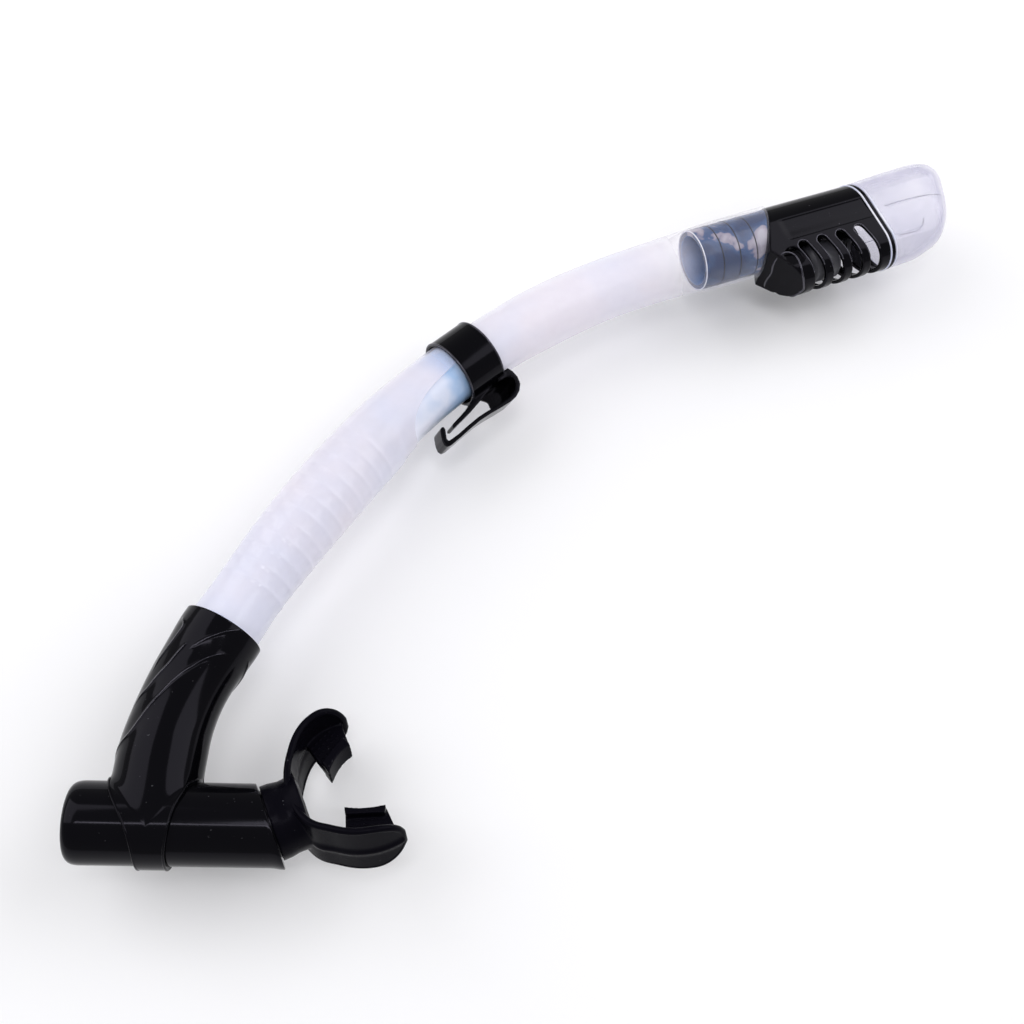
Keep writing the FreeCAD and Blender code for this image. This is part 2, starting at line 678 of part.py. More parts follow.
PIN = TOP * shifted(x=size["pin_x"], y=-size["pin_drop"])
FLAP = TOP * shifted(x=size["pin_x"], y=-size["pin_drop"], angle=-size["flap_open"])
seat_tube = turned("seat_tube", [
    ("16.2", "7.8"),
    ("16.2", "air_lobe - housing_wall - 0.2"),
    ("18", "air_lobe - housing_wall - 0.2"),
    ("18", "9.2"),
    ("43", "9.2"),
    ("43", "7.8"),
], TOP)
cheeks = []
for side, low in (("near", 4.3), ("far", -5.8)):
    cheeks.append(block("cheek_" + side, "9.2", "5", "1.5", TOP * shifted(x=40.4, y=-13.6, z=low)))
    cheeks.append(block("cheek_root_" + side, "2.4", "6", "1.5", TOP * shifted(x=40.4, y=-12.6, z=low)))
seat_solid = joined("seat_solid", seat_tube, *cheeks)
seat_airway = rod("seat_airway", "7.8", "40", TOP * shifted(x=10) * ALONG_X)
pin_room = rod("pin_room", "pin_radius", "11.6", PIN * shifted(z=-5.8))
node("valve_seat", cut("valve_seat_whole", seat_solid, joined("seat_hollows", seat_airway, pin_room)))
node("lever_pin", rod("pin_rod", "pin_radius", "11.6", PIN * shifted(z=-5.8)))

flap_centre = FLAP * shifted(x=-4.4, y=size["pin_drop"]) * ALONG_X
node("seal_disc", rod("seal_whole", "flap_radius", "1.4", flap_centre))
carrier = rod("carrier", "7.4", "1.2", FLAP * shifted(x=-3.0, y=size["pin_drop"]) * ALONG_X)
lever_arm = block("lever_arm", "2", "7", "5", FLAP * shifted(x=-3.0, y=-0.5, z=-2.5))
lever_knuckle = rod("lever_knuckle", "1.9", "7.8", FLAP * shifted(z=-3.9))
lever_tail = block("lever_tail", "1.6", "7.2", "3.6", FLAP * shifted(x=-0.8, y=-7.2, z=-1.8))
lever_solid = joined("lever_solid", carrier, lever_arm, lever_knuckle, lever_tail)
lever_bore = rod("lever_bore", "pin_radius + 0.05", "12", FLAP * shifted(z=-6))
node("float_lever", cut("lever_whole", lever_solid, lever_bore))

node("float", turned("float_body", [
    ("float_start", "0"),
    ("float_start", "float_radius - 1.5"),
    ("float_start + 1.5", "float_radius"),
    ("float_start + float_length - 1.5", "float_radius"),
    ("float_start + float_length", "float_radius - 1.5"),
    ("float_start + float_length", "1.6"),
    ("float_start + float_length + 6.2", "1.6"),
    ("float_start + float_length + 6.2", "0"),
], TOP * shifted(y=-size["lobe_distance"])))

# ---- trim ring and cap --------------------------------------------------------------------

trim_slab = block("trim_slab", "trim_thickness", "90", "90",
                  TOP * shifted(x=size["rim_x"] + 0.05, angle=size["rim_slant"]) * shifted(y=-45, z=-45))
trim_outer = shared("trim_outer", trim_slab, lobe_prism("trim_bar", "-0.25", 40, 80))
node("trim_ring", cut("trim_whole", trim_outer, lobe_prism("trim_room", "housing_wall", 40, 80)))

# place along the axis, upper lobe, lower lobe, distance between them, rise of the upper lobe
CAP_SECTIONS = [
    (50.0, 13.3, 11.2, 18.0, 0.0),
    (66.0, 13.3, 10.8, 16.7, 0.0),
    (76.0, 13.3, 10.2, 13.8, 0.0),
    (86.0, 13.1, 9.3, 9.2, 0.0),
    (93.5, 12.0, 8.6, 4.9, 1.0),
    (99.0, 8.8, 7.2, 2.9, 2.6),
    (102.6, 4.5, 3.8, 1.5, 4.0),
]


def cap_loft(name, wall, last):
    """Solid through the cap's sections, moved inwards by a wall."""
    sections = []
    for index, (x, upper, lower, distance, rise) in enumerate(CAP_SECTIONS):
        x = min(x, last)
        outline = lobes("%s_section%d" % (name, index), "%g - %s" % (upper, wall), "%g - %s" % (lower, wall),
                        "%g" % distance, TOP * shifted(x=x, y=rise))
        sections.append(outline)
    loft = doc.addObject("Part::Loft", name)
    loft.Sections = sections
    loft.Solid = True
    return loft


cap_before = block("cap_before", "90", "90", "90",
                   TOP * shifted(x=size["rim_x"] + size["trim_thickness"] + 0.1, angle=size["rim_slant"])
                   * shifted(x=-90, y=-45, z=-45))
cap_shell = cut("cap_shell", cap_loft("cap_outside", "0 * cap_wall", 110.0),
                cap_loft("cap_inside", "cap_wall", 102.6 - size["cap_wall"]))
node("top_cap", cut("top_cap_whole", cap_shell, cap_before))

# ---- keeper -------------------------------------------------------------------------------

keeper_ring = turned("keeper_ring", [
    ("-keeper_length / 2", "keeper_bore"),
    ("-keeper_length / 2", "keeper_radius"),
    ("keeper_length / 2", "keeper_radius"),
    ("keeper_length / 2", "keeper_bore"),
], KEEPER)
ARM_OUTSIDE = [
    (9.4, -9.6), (11.2, -11.6), (12.2, -14.2), (12.5, -17.2), (11.6, -20.1), (9.4, -22.3), (6.6, -23.5),
    (3.4, -23.8), (-1.9, -23.4), (-6.7, -22.9), (-12.0, -22.6), (-17.4, -22.9), (-23.5, -23.4),
    (-28.4, -23.7), (-30.2, -23.3), (-30.8, -21.9), (-30.2, -19.8), (-29.2, -17.9), (-28.2, -16.2),
    (-27.1, -15.6), (-26.2, -16.0),
]
ARM_INSIDE = [
    (-26.3, -17.2), (-27.3, -18.8), (-28.3, -20.5), (-28.3, -21.7), (-23.5, -21.8), (-17.4, -21.3),
    (-12.0, -21.0), (-6.7, -21.3), (-1.9, -21.8), (3.2, -22.1), (6.2, -21.7), (8.4, -20.6),
    (10.0, -18.9), (10.6, -17.2), (9.9, -15.6), (8.2, -14.8), (5.0, -14.5), (5.0, -9.6),
]
keeper_arm = plate("keeper_arm", ARM_OUTSIDE + ARM_INSIDE, "keeper_width / 2", KEEPER)
TONGUE = [
    (-7.5, -10.5), (-7.4, -13.6), (-14.4, -15.8), (-22.2, -17.2), (-23.0, -18.0), (-22.2, -18.8),
    (-12.7, -17.5), (-1.9, -15.2), (5.0, -13.0), (6.0, -10.5),
]
keeper_tongue = plate("keeper_tongue", TONGUE, "keeper_width / 2 - 1", KEEPER)
keeper_solid = joined("keeper_solid", keeper_ring, keeper_arm, keeper_tongue)
keeper_room = rod("keeper_room", "keeper_bore", "keeper_length + 40",
                  KEEPER * shifted(x=-size["keeper_length"] / 2 - 20) * ALONG_X)
node("keeper", cut("keeper_whole", keeper_solid, keeper_room))

# ---- mouthpiece ---------------------------------------------------------------------------

collar_tube = turned("collar_tube", [
    ("-4.5", "collar_bore"),
    ("-4.5", "collar_radius"),
    ("8", "collar_radius"),
    ("8", "collar_bore"),
], MOUTH)
swivel_groove = MOUTH * shifted(x=-2) * ALONG_X
node("mouth_collar", cut("collar_whole", collar_tube,
                         ball_ring("o_ring_room", "collar_radius - 0.15", "0.45", swivel_groove)))
node("swivel_o_ring", ball_ring("o_ring_whole", "collar_radius - 0.15", "0.4", swivel_groove))

neck = turned("neck", [
    ("0.4", "collar_radius + 0.15"),
    ("0.4", "13.0"),
    ("3.5", "12.9"),
    ("6.5", "12.4"),
    ("9.5", "12.7"),
    ("12", "13.6"),
    ("13", "9"),
    ("8.2", "9"),
    ("8.2", "collar_radius + 0.15"),
], MOUTH)


def flange_ellipse(name, wall):
    """Elliptic bar across the mouthpiece, moved inwards by a wall."""
    ellipse = doc.addObject("Part::Ellipse", name + "_outline")
    bind(ellipse, MajorRadius="flange_half_width - (%s)" % wall, MinorRadius="flange_length - (%s)" % wall)
    ellipse.Placement = MOUTH * shifted(x=size["flange_centre"], angle=90)
    return thickened(name, ellipse, "15")


flange_shell = cut("flange_shell", flange_ellipse("flange_outside", "0 * flange_wall"),
                   flange_ellipse("flange_inside", "flange_wall"))
TIP_AXIS = MOUTH * shifted(x=size["flange_tip"] - size["flange_half_height"], y=-40)
wing_round = rod("wing_round", "flange_half_height", "80", TIP_AXIS * ALONG_Y)
wing_band = block("wing_band", "flange_tip - flange_half_height", "80", "2 * flange_half_height",
                  MOUTH * shifted(y=-40, z=-size["flange_half_height"]))
flange = shared("flange", flange_shell, joined("wing_side", wing_round, wing_band))
tabs = []
for side, sign in (("upper", 1), ("lower", -1)):
    tab = [(21.0, 22.6), (24.5, 7.6), (37.6, 14.4), (38.0, 26.6), (31.0, 27.0), (25.0, 25.4)]
    lug = [(24.5, 7.6), (37.6, 14.4), (36.2, 18.0), (23.9, 11.6)]
    web = plate("web_" + side, [(x, sign * y) for x, y in tab], "tab_half_thickness", MOUTH)
    bead = plate("lug_" + side, [(x, sign * y) for x, y in lug], "lug_half_height", MOUTH)
    hollow = rod("hollow_" + side, "bite_hollow", "20", MOUTH * shifted(x=42.2, y=-10.5 * sign, z=-10))
    tabs.append(cut("tab_" + side, joined("bite_" + side, web, bead), hollow))
mouth_solid = joined("mouth_solid", neck, flange, *tabs)
mouth_airway = rod("mouth_airway", "9", "14", MOUTH * shifted(x=8) * ALONG_X)
node("mouthpiece", cut("mouthpiece_whole", mouth_solid, mouth_airway))

# ---- check and write ----------------------------------------------------------------------

doc.recompute()
for thing in doc.Objects:
    if "Invalid" in thing.State or "Error" in thing.State:
        raise RuntimeError("%s did not compute: %s" % (thing.Name, thing.State))
os.makedirs("parts", exist_ok=True)
for thing in nodes:
    if not thing.Shape.isValid() or thing.Shape.Volume <= 0:
        raise RuntimeError("%s is not a valid solid" % thing.Label)
    print(thing.Label, len(thing.Shape.Solids), round(thing.Shape.Volume), thing.Shape.BoundBox)
    thing.Shape.exportStep("parts/%s.step" % thing.Label)
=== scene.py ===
import math

import bmesh
import bpy
import numpy as np
from mathutils import Matrix, Vector


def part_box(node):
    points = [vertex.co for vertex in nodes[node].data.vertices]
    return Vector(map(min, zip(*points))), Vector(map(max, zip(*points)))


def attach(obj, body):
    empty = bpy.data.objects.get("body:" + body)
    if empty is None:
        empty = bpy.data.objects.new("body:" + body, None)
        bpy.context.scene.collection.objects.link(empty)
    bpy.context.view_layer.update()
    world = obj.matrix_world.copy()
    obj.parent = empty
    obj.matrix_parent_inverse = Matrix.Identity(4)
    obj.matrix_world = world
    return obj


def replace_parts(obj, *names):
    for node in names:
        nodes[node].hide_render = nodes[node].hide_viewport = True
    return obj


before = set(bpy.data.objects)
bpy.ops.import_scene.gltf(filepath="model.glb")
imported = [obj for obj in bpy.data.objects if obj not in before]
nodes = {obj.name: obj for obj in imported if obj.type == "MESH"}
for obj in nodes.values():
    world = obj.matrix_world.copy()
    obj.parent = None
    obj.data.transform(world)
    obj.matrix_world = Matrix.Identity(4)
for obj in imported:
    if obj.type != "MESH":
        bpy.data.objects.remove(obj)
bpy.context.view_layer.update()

MM = 0.001


# ---- driving dimensions, in mm and degrees from where barrel and elbow cross ----

BARREL_END = -27.0
BARREL_RADIUS = 13.75
BARREL_BORE = 11.9
low_corner = np.array(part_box("barrel")[0]) / MM
ORIGIN = np.array((BARREL_END, -BARREL_RADIUS, -BARREL_RADIUS)) - low_corner

# stretches of the tube's middle line: length, and how many degrees it turns
RUNS = ((13.0, 0.0), (43.5, 25.3), (114.0, 12.5), (58.0, 12.0), (74.0, 15.3), (30.0, 3.0))

MOUTH_AT = (38.8, 0.6, 0.0)
MOUTH_TURN = 23.0
MOUTH_ROLL = 20.0
TOP_STATION = 357.5
TOP_SLANT = math.tan(math.radians(23.0))
KEEPER_STATION = 218.0
KEEPER_ROLL = 17.0


def centreline(start=-20.0, end=420.0, step=0.05):
    """Stations, x, y and heading (radians) along the middle of the tube."""
    stations = np.arange(start, end, step)
    knots = [start, 0.0]
    headings = [90.0, 90.0]
    for length, bend in RUNS:
        knots.append(knots[-1] + length)
        headings.append(headings[-1] - bend)
    heading = np.radians(np.interp(stations, knots, headings))
    middle = (heading[1:] + heading[:-1]) / 2
    x = np.concatenate(([0.0], np.cumsum(np.cos(middle) * step)))
    y = np.concatenate(([0.0], np.cumsum(np.sin(middle) * step)))
    x -= np.interp(0.0, stations, x)
    y -= np.interp(0.0, stations, y)
    return stations, x, y, heading


LINE = centreline()


def on_tube(s, r, phi):
    """Points at station s, radius r and angle phi round the tube; phi 0 is left of its heading,
    a quarter turn is up from the floor."""
    s, r, phi = np.broadcast_arrays(s, r, phi)
    x, y, heading = (np.interp(s, LINE[0], values) for values in LINE[1:])
    side = r * np.cos(phi)
    return np.stack((x - side * np.sin(heading), y + side * np.cos(heading), r * np.sin(phi)), -1)


class Frame:
    """A place and three directions, in the centreline's millimetres."""

    def __init__(self, at, turn, roll=0.0):
        self.at = np.array(at, float)
        c, s = math.cos(turn), math.sin(turn)
        cr, sr = math.cos(roll), math.sin(roll)
        self.x = np.array((c, s, 0.0))
        self.y = np.array((-s * cr, c * cr, sr))
        self.z = np.array((s * sr, -c * sr, cr))

    def point(self, x, y, z):
        """Points given along the frame's three directions."""
        x, y, z = np.broadcast_arrays(x, y, z)
        return self.at + x[..., None] * self.x + y[..., None] * self.y + z[..., None] * self.z

    def circle(self, x, radius, turn):
        """Points round the frame's x axis."""
        return self.point(x, radius * np.cos(turn), radius * np.sin(turn))


def tube_frame(station, roll=0.0):
    """Frame on the middle line, its x axis along the line."""
    x, y, heading = (float(np.interp(station, LINE[0], values)) for values in LINE[1:])
    return Frame((x, y, 0.0), heading, roll)


BARREL = Frame((0, 0, 0), 0.0)
MOUTH = Frame(MOUTH_AT, math.radians(MOUTH_TURN), math.radians(-MOUTH_ROLL))
TOP = tube_frame(TOP_STATION)
KEEPER = tube_frame(KEEPER_STATION, math.radians(KEEPER_ROLL))


# ---- curves ----

def ease(t):
    """Smooth step from 0 to 1."""
    t = np.clip(t, 0.0, 1.0)
    return t * t * (3 - 2 * t)


def around(count):
    """Angles of a whole turn."""
    return np.linspace(0, 2 * math.pi, count, endpoint=False)


def through(*knots):
    """Smooth function through (position, value) pairs, level outside them."""
    xs = np.array([k[0] for k in knots], float)
    ys = np.array([k[1] for k in knots], float)
    slopes = np.gradient(ys, xs)

    def value(x):
        x = np.clip(x, xs[0], xs[-1])
        i = np.clip(np.searchsorted(xs, x, side="right") - 1, 0, len(xs) - 2)
        width = xs[i + 1] - xs[i]
        t = (x - xs[i]) / width
        start = (2 * t**3 - 3 * t**2 + 1) * ys[i] + (t**3 - 2 * t**2 + t) * width * slopes[i]
        return start + (-2 * t**3 + 3 * t**2) * ys[i + 1] + (t**3 - t**2) * width * slopes[i + 1]

    return value


def spline(points, per=8, closed=True):
    """Catmull-Rom line through points, with per steps between two of them."""
    p = np.array(points, float)
    n = len(p)
    line = []
    for i in range(n if closed else n - 1):
        if closed:
            a, b, c, d = p[i - 1], p[i], p[(i + 1) % n], p[(i + 2) % n]
        else:
            a, b, c, d = p[max(i - 1, 0)], p[i], p[i + 1], p[min(i + 2, n - 1)]
        for t in np.linspace(0, 1, per, endpoint=False):
            line.append(0.5 * (2 * b + (c - a) * t + (2 * a - 5 * b + 4 * c - d) * t**2
                               + (3 * b - a - 3 * c + d) * t**3))
    if not closed:
        line.append(p[-1])
    return np.array(line)


def ring_profile(start, end, outer, inner, edge, count):
    """Closed loop of (station, radius): outside, rounded end, inside, rounded start."""
    places = np.linspace(start + edge, end - edge, count)
    rounding = [(edge * math.sin(a), edge * math.cos(a)) for a in np.linspace(0, math.pi / 2, 6)]
    loop = [(s, outer(s)) for s in places]
    loop += [(end - edge + a, outer(end) - edge + b) for a, b in rounding[1:]]
    loop += [(end - edge + b, inner(end) + edge - a) for a, b in rounding]
    loop += [(s, inner(s)) for s in places[::-1][1:]]
    loop += [(start + edge - a, inner(start) + edge - b) for a, b in rounding[1:]]
    loop += [(start + edge - b, outer(start) - edge + a) for a, b in rounding[:-1]]
    return np.array(loop)


def lobes(upper, lower, distance, rise, count=320):
    """Outline (across, height) round two circles joined by their common tangents, evenly spaced."""
    tilt = math.acos(max(-1.0, min(1.0, -(upper - lower) / max(distance, abs(upper - lower) + 1e-6))))
    top = [(rise + upper * math.cos(a), upper * math.sin(a)) for a in np.linspace(-tilt, tilt, 200)]
    low = [(rise - distance + lower * math.cos(a), lower * math.sin(a))
           for a in np.linspace(tilt, 2 * math.pi - tilt, 200)]
    line = np.array(top + low + [top[0]])
    lengths = np.concatenate(([0], np.cumsum(np.hypot(*np.diff(line, axis=0).T))))
    even = lengths[-1] * np.linspace(0, 1, count, endpoint=False)
    place = np.interp(even, lengths, np.arange(len(line)))
    whole = np.floor(place).astype(int)
    part = (place - whole)[:, None]
    return line[whole] * (1 - part) + line[np.minimum(whole + 1, len(line) - 1)] * part


def near_side(outline, across):
    """Height of the near half of an outline at places across it."""
    near = outline[outline[:, 1] >= 0]
    near = near[np.argsort(near[:, 0])]
    return np.interp(across, near[:, 0], near[:, 1])


# ---- mesh helpers ----

def piece(name, vertices, faces, body, material, smooth=True):
    """A mesh object from points in the centreline's millimetres, riding on a body."""
    mesh = bpy.data.meshes.new(name)
    mesh.from_pydata(((np.asarray(vertices) - ORIGIN) * MM).tolist(), [], [tuple(f) for f in faces])
    bm = bmesh.new()
    bm.from_mesh(mesh)
    bmesh.ops.remove_doubles(bm, verts=bm.verts, dist=2e-6)
    bmesh.ops.recalc_face_normals(bm, faces=bm.faces)
    bm.to_mesh(mesh)
    bm.free()
    mesh.validate()
    obj = bpy.data.objects.new(name, mesh)
    bpy.context.scene.collection.objects.link(obj)
    mesh.materials.append(material)
    if smooth:
        mesh.shade_smooth()
    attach(obj, body)
    return obj


def grid_faces(rows, columns, close_rows=False, close_columns=True, start=0):
    """Four-sided faces between rows of points, counted from start."""
    faces = []
    for i in range(rows if close_rows else rows - 1):
        for j in range(columns if close_columns else columns - 1):
            i2, j2 = (i + 1) % rows, (j + 1) % columns
            faces.append((start + i * columns + j, start + i * columns + j2,
                          start + i2 * columns + j2, start + i2 * columns + j))
    return faces


def grid(name, points, body, material, close_rows=True):
    """Surface over an array of points (rows, columns, 3); each row is a closed loop."""
    rows, columns = points.shape[:2]
    faces = grid_faces(rows, columns, close_rows)
    return piece(name, points.reshape(-1, 3), faces, body, material)


def bead(name, path, radius, body, material, closed=True, sides=10):
    """Round bead along a path of points."""
    path = np.array(path, float)
    ahead = np.roll(path, -1, 0) - np.roll(path, 1, 0)
    if not closed:
        ahead[0], ahead[-1] = path[1] - path[0], path[-1] - path[-2]
    ahead /= np.linalg.norm(ahead, axis=1)[:, None]
    side = np.array((0.31, 0.17, 0.93))  # any direction that no path follows
    turn = around(sides)[:, None]
    rings = []
    for point, forward in zip(path, ahead):
        side = side - np.dot(side, forward) * forward
        side /= np.linalg.norm(side)
        over = np.cross(forward, side)
        rings.append(point + radius * (np.cos(turn) * side + np.sin(turn) * over))
    if not closed:
        rings = [np.repeat(path[:1], sides, 0)] + rings + [np.repeat(path[-1:], sides, 0)]
    return grid(name, np.array(rings), body, material, close_rows=closed)


# ---- material helpers ----

def principled(name, colour, roughness, **sockets):
    """Principled material; returns (material, node tree, shader)."""
    mat = bpy.data.materials.new(name)
    mat.use_nodes = True
    tree = mat.node_tree
    shader = tree.nodes["Principled BSDF"]
    shader.inputs["Base Color"].default_value = (*colour, 1.0)
    shader.inputs["Roughness"].default_value = roughness
    for key, value in sockets.items():
        shader.inputs[key.replace("_", " ")].default_value = value
    return mat, tree, shader


def noise(tree, scale, detail=3.0, roughness=0.5, distortion=0.0, stretch=None):
    """Noise in object coordinates, its scale per metre."""
    coords = tree.nodes.new("ShaderNodeTexCoord")
    tex = tree.nodes.new("ShaderNodeTexNoise")
    tex.inputs["Scale"].default_value = scale
    tex.inputs["Detail"].default_value = detail
    tex.inputs["Roughness"].default_value = roughness
    tex.inputs["Distortion"].default_value = distortion
    if stretch:
        mapping = tree.nodes.new("ShaderNodeMapping")
        mapping.inputs["Scale"].default_value = stretch
        tree.links.new(coords.outputs["Object"], mapping.inputs["Vector"])
        tree.links.new(mapping.outputs["Vector"], tex.inputs["Vector"])
    else:
        tree.links.new(coords.outputs["Object"], tex.inputs["Vector"])
    return tex.outputs["Fac"]


def ramp(tree, source, stops):
    """Colour ramp; stops are (place, colour)."""
    node = tree.nodes.new("ShaderNodeValToRGB")
    elements = node.color_ramp.elements
    while len(elements) < len(stops):
        elements.new(0.5)
    for element, (place, colour) in zip(elements, stops):
        element.position = place
        element.color = (*colour, 1.0)
    tree.links.new(source, node.inputs["Fac"])
    return node.outputs["Color"]


def rescaled(tree, source, low, high):
    """Brings a value from 0..1 to low..high."""
    node = tree.nodes.new("ShaderNodeMapRange")
    node.inputs["To Min"].default_value = low
    node.inputs["To Max"].default_value = high
    tree.links.new(source, node.inputs["Value"])
    return node.outputs["Result"]


def along(tree, axes, start, end, low, high):
    """Value that changes from low to high between two places on a frame's x axis, in millimetres."""
    coords = tree.nodes.new("ShaderNodeTexCoord")
    dot = tree.nodes.new("ShaderNodeVectorMath")
    dot.operation = "DOT_PRODUCT"
    dot.inputs[1].default_value = axes.x
    tree.links.new(coords.outputs["Object"], dot.inputs[0])
    offset = float(np.dot(axes.at - ORIGIN, axes.x))
    fade = tree.nodes.new("ShaderNodeMapRange")
    fade.interpolation_type = "SMOOTHSTEP"
    fade.inputs["From Min"].default_value = (offset + start) * MM
    fade.inputs["From Max"].default_value = (offset + end) * MM
    fade.inputs["To Min"].default_value = low
    fade.inputs["To Max"].default_value = high
    tree.links.new(dot.outputs["Value"], fade.inputs["Value"])
    return fade.outputs["Result"]


def grazing(tree, blend):
    """Value that grows where the view grazes a clear surface, as the wall looks thicker there."""
    node = tree.nodes.new("ShaderNodeLayerWeight")
    node.inputs["Blend"].default_value = blend
    return node.outputs["Facing"]


def math_node(tree, operation, a, b):
    """Sum, product or power of a value and another value or number."""
    node = tree.nodes.new("ShaderNodeMath")
    node.operation = operation
    tree.links.new(a, node.inputs[0])
    if isinstance(b, float):
        node.inputs[1].default_value = b
    else:
        tree.links.new(b, node.inputs[1])
    return node.outputs["Value"]


def bumps(tree, shader, layers):
    """Bump from several heights; layers are (source, strength, distance in mm)."""
    last = None
    for source, strength, distance in layers:
        bump = tree.nodes.new("ShaderNodeBump")
        bump.inputs["Strength"].default_value = strength
        bump.inputs["Distance"].default_value = distance * MM
        tree.links.new(source, bump.inputs["Height"])
        if last is not None:
            tree.links.new(last, bump.inputs["Normal"])
        last = bump.outputs["Normal"]
    tree.links.new(last, shader.inputs["Normal"])


# ---- materials ----

def moulded_black(name, tint, low, high, wave, grain, index=1.45, specular=0.13):
    """Black moulded surface: faint waviness, fine grain, dusty specks, uneven gloss."""
    mat, tree, shader = principled(name, tint, low, IOR=index, Specular_IOR_Level=specular)
    shader.inputs["Specular Tint"].default_value = (0.86, 0.83, 1.0, 1.0)
    tree.links.new(rescaled(tree, noise(tree, 55, 4, 0.6), low, high), shader.inputs["Roughness"])
    specks = noise(tree, 900, 2, 0.5)
    dust = ramp(tree, specks, [(0.0, (0, 0, 0)), (0.74, (0, 0, 0)), (0.8, (1, 1, 1))])
    mix = tree.nodes.new("ShaderNodeMixRGB")
    mix.inputs["Color1"].default_value = (*tint, 1.0)
    mix.inputs["Color2"].default_value = (tint[0] + 0.05, tint[1] + 0.05, tint[2] + 0.055, 1.0)
    tree.links.new(dust, mix.inputs["Fac"])
    tree.links.new(mix.outputs["Color"], shader.inputs["Base Color"])
    bumps(tree, shader, [(noise(tree, 40, 2), wave, 0.6), (noise(tree, 1400, 2), grain, 0.02)])
    return mat


def milky(name, warm, cool, fade, mottled, roughness):
    """Cloudy translucent wall: its density fades along the tube and drifts in patches."""
    mat, tree, shader = principled(name, cool, roughness, Specular_IOR_Level=0.4)
    drift = noise(tree, 22, 3, 0.55)
    tree.links.new(ramp(tree, drift, [(0.36, cool), (0.64, warm)]), shader.inputs["Base Color"])
    cloud = rescaled(tree, noise(tree, 34, 4, 0.6), 1 - mottled, 1 + mottled)
    density = math_node(tree, "MULTIPLY", along(tree, *fade), cloud)
    rim = math_node(tree, "MULTIPLY", math_node(tree, "POWER", grazing(tree, 0.5), 4.0), 0.35)
    tree.links.new(math_node(tree, "ADD", density, rim), shader.inputs["Alpha"])
    bumps(tree, shader, [(noise(tree, 90, 3), 0.16, 0.4), (noise(tree, 700, 2), 0.10, 0.04)])
    return mat


def clear_plastic(name):
    """Thin clear wall with a lilac haze."""
    mat, tree, shader = principled(name, (0.70, 0.69, 0.84), 0.05, IOR=1.5, Specular_IOR_Level=0.8)
    haze = noise(tree, 45, 3, 0.5)
    thick = math_node(tree, "MULTIPLY", grazing(tree, 0.35), 0.5)
    density = math_node(tree, "ADD", rescaled(tree, haze, 0.10, 0.26), thick)
    tree.links.new(density, shader.inputs["Alpha"])
    tint = ramp(tree, haze, [(0.35, (0.60, 0.59, 0.76)), (0.65, (0.82, 0.80, 0.93))])
    tree.links.new(tint, shader.inputs["Base Color"])
    bumps(tree, shader, [(noise(tree, 60, 2), 0.10, 0.5)])
    return mat


def fold_shade_line(name):
    """Painted shade: broken grey line where the clear wall folds, standing in for the shade along the
    crease.
    """
    mat, tree, shader = principled(name, (0.30, 0.29, 0.36), 0.15)
    streak = noise(tree, 150, 3, 0.5)
    tint = ramp(tree, streak, [(0.4, (0.20, 0.19, 0.25)), (0.62, (0.55, 0.54, 0.66))])
    tree.links.new(tint, shader.inputs["Base Color"])
    tree.links.new(rescaled(tree, streak, 0.15, 0.85), shader.inputs["Alpha"])
    return mat


def pale_to_blue(name):
    """Blue plastic that pales towards its lower end."""
    mat, tree, shader = principled(name, (0.4, 0.52, 0.75), 0.25)
    blue = ramp(tree, noise(tree, 45, 3), [(0.40, (0.34, 0.50, 0.76)), (0.58, (0.68, 0.73, 0.88))])
    mix = tree.nodes.new("ShaderNodeMixRGB")
    mix.inputs["Color1"].default_value = (0.86, 0.86, 0.96, 1.0)
    tree.links.new(blue, mix.inputs["Color2"])
    tree.links.new(along(tree, KEEPER, -34, -18, 0.35, 1.0), mix.inputs["Fac"])
    tree.links.new(mix.outputs["Color"], shader.inputs["Base Color"])
    bumps(tree, shader, [(noise(tree, 120, 3), 0.1, 0.3)])
    return mat


def patchy(name, colour, roughness, patches, stops, grain, **sockets):
    """Plain plastic: patches are the colour noise, grain is (scale, strength, depth in mm)."""
    mat, tree, shader = principled(name, colour, roughness, **sockets)
    tree.links.new(ramp(tree, noise(tree, *patches), stops), shader.inputs["Base Color"])
    scale, strength, depth = grain
    bumps(tree, shader, [(noise(tree, scale, 2), strength, depth)])
    return mat


def brushed_steel(name):
    """Steel with fine lines along the pin."""
    mat, tree, shader = principled(name, (0.55, 0.55, 0.57), 0.28, Metallic=1.0)
    brushing = noise(tree, 700, 3, 0.5, 0.0, (1.0, 1.0, 0.05))
    tint = ramp(tree, brushing, [(0.3, (0.48, 0.48, 0.5)), (0.7, (0.62, 0.62, 0.64))])
    tree.links.new(tint, shader.inputs["Base Color"])
    bumps(tree, shader, [(brushing, 0.3, 0.02)])
    return mat


gloss_black = moulded_black("gloss_black", (0.0013, 0.0013, 0.002), 0.06, 0.16, 0.10, 0.10)
# Black made lighter than the others, with strong specular: painted highlight, so the thin beads on edges and
# ridges read as glints.
painted_edge_highlight = moulded_black("painted_edge_highlight", (0.016, 0.016, 0.021), 0.10, 0.16, 0.1, 0.1, 1.45, 0.9)
satin_black = moulded_black("satin_black", (0.002, 0.002, 0.003), 0.2, 0.32, 0.10, 0.25)
soft_black = moulded_black("soft_black", (0.0026, 0.0024, 0.0044), 0.2, 0.34, 0.12, 0.2, 1.3, 0.07)

HOSE_FADE = (KEEPER, -22, -9, 0.60, 0.2)
TUBE_FADE = (TOP, -46, -24, 0.42, 0.035)
milky_hose = milky("milky_hose", (0.93, 0.89, 0.97), (0.86, 0.87, 1.0), HOSE_FADE, 0.16, 0.1)
clear_tube = milky("clear_tube", (0.95, 0.90, 0.97), (0.86, 0.87, 1.0), TUBE_FADE, 0.16, 0.12)
cap_clear = clear_plastic("cap_clear")
# Painted shade for the lines along the cap's folds.
cap_fold_shade = fold_shade_line("cap_fold_shade")

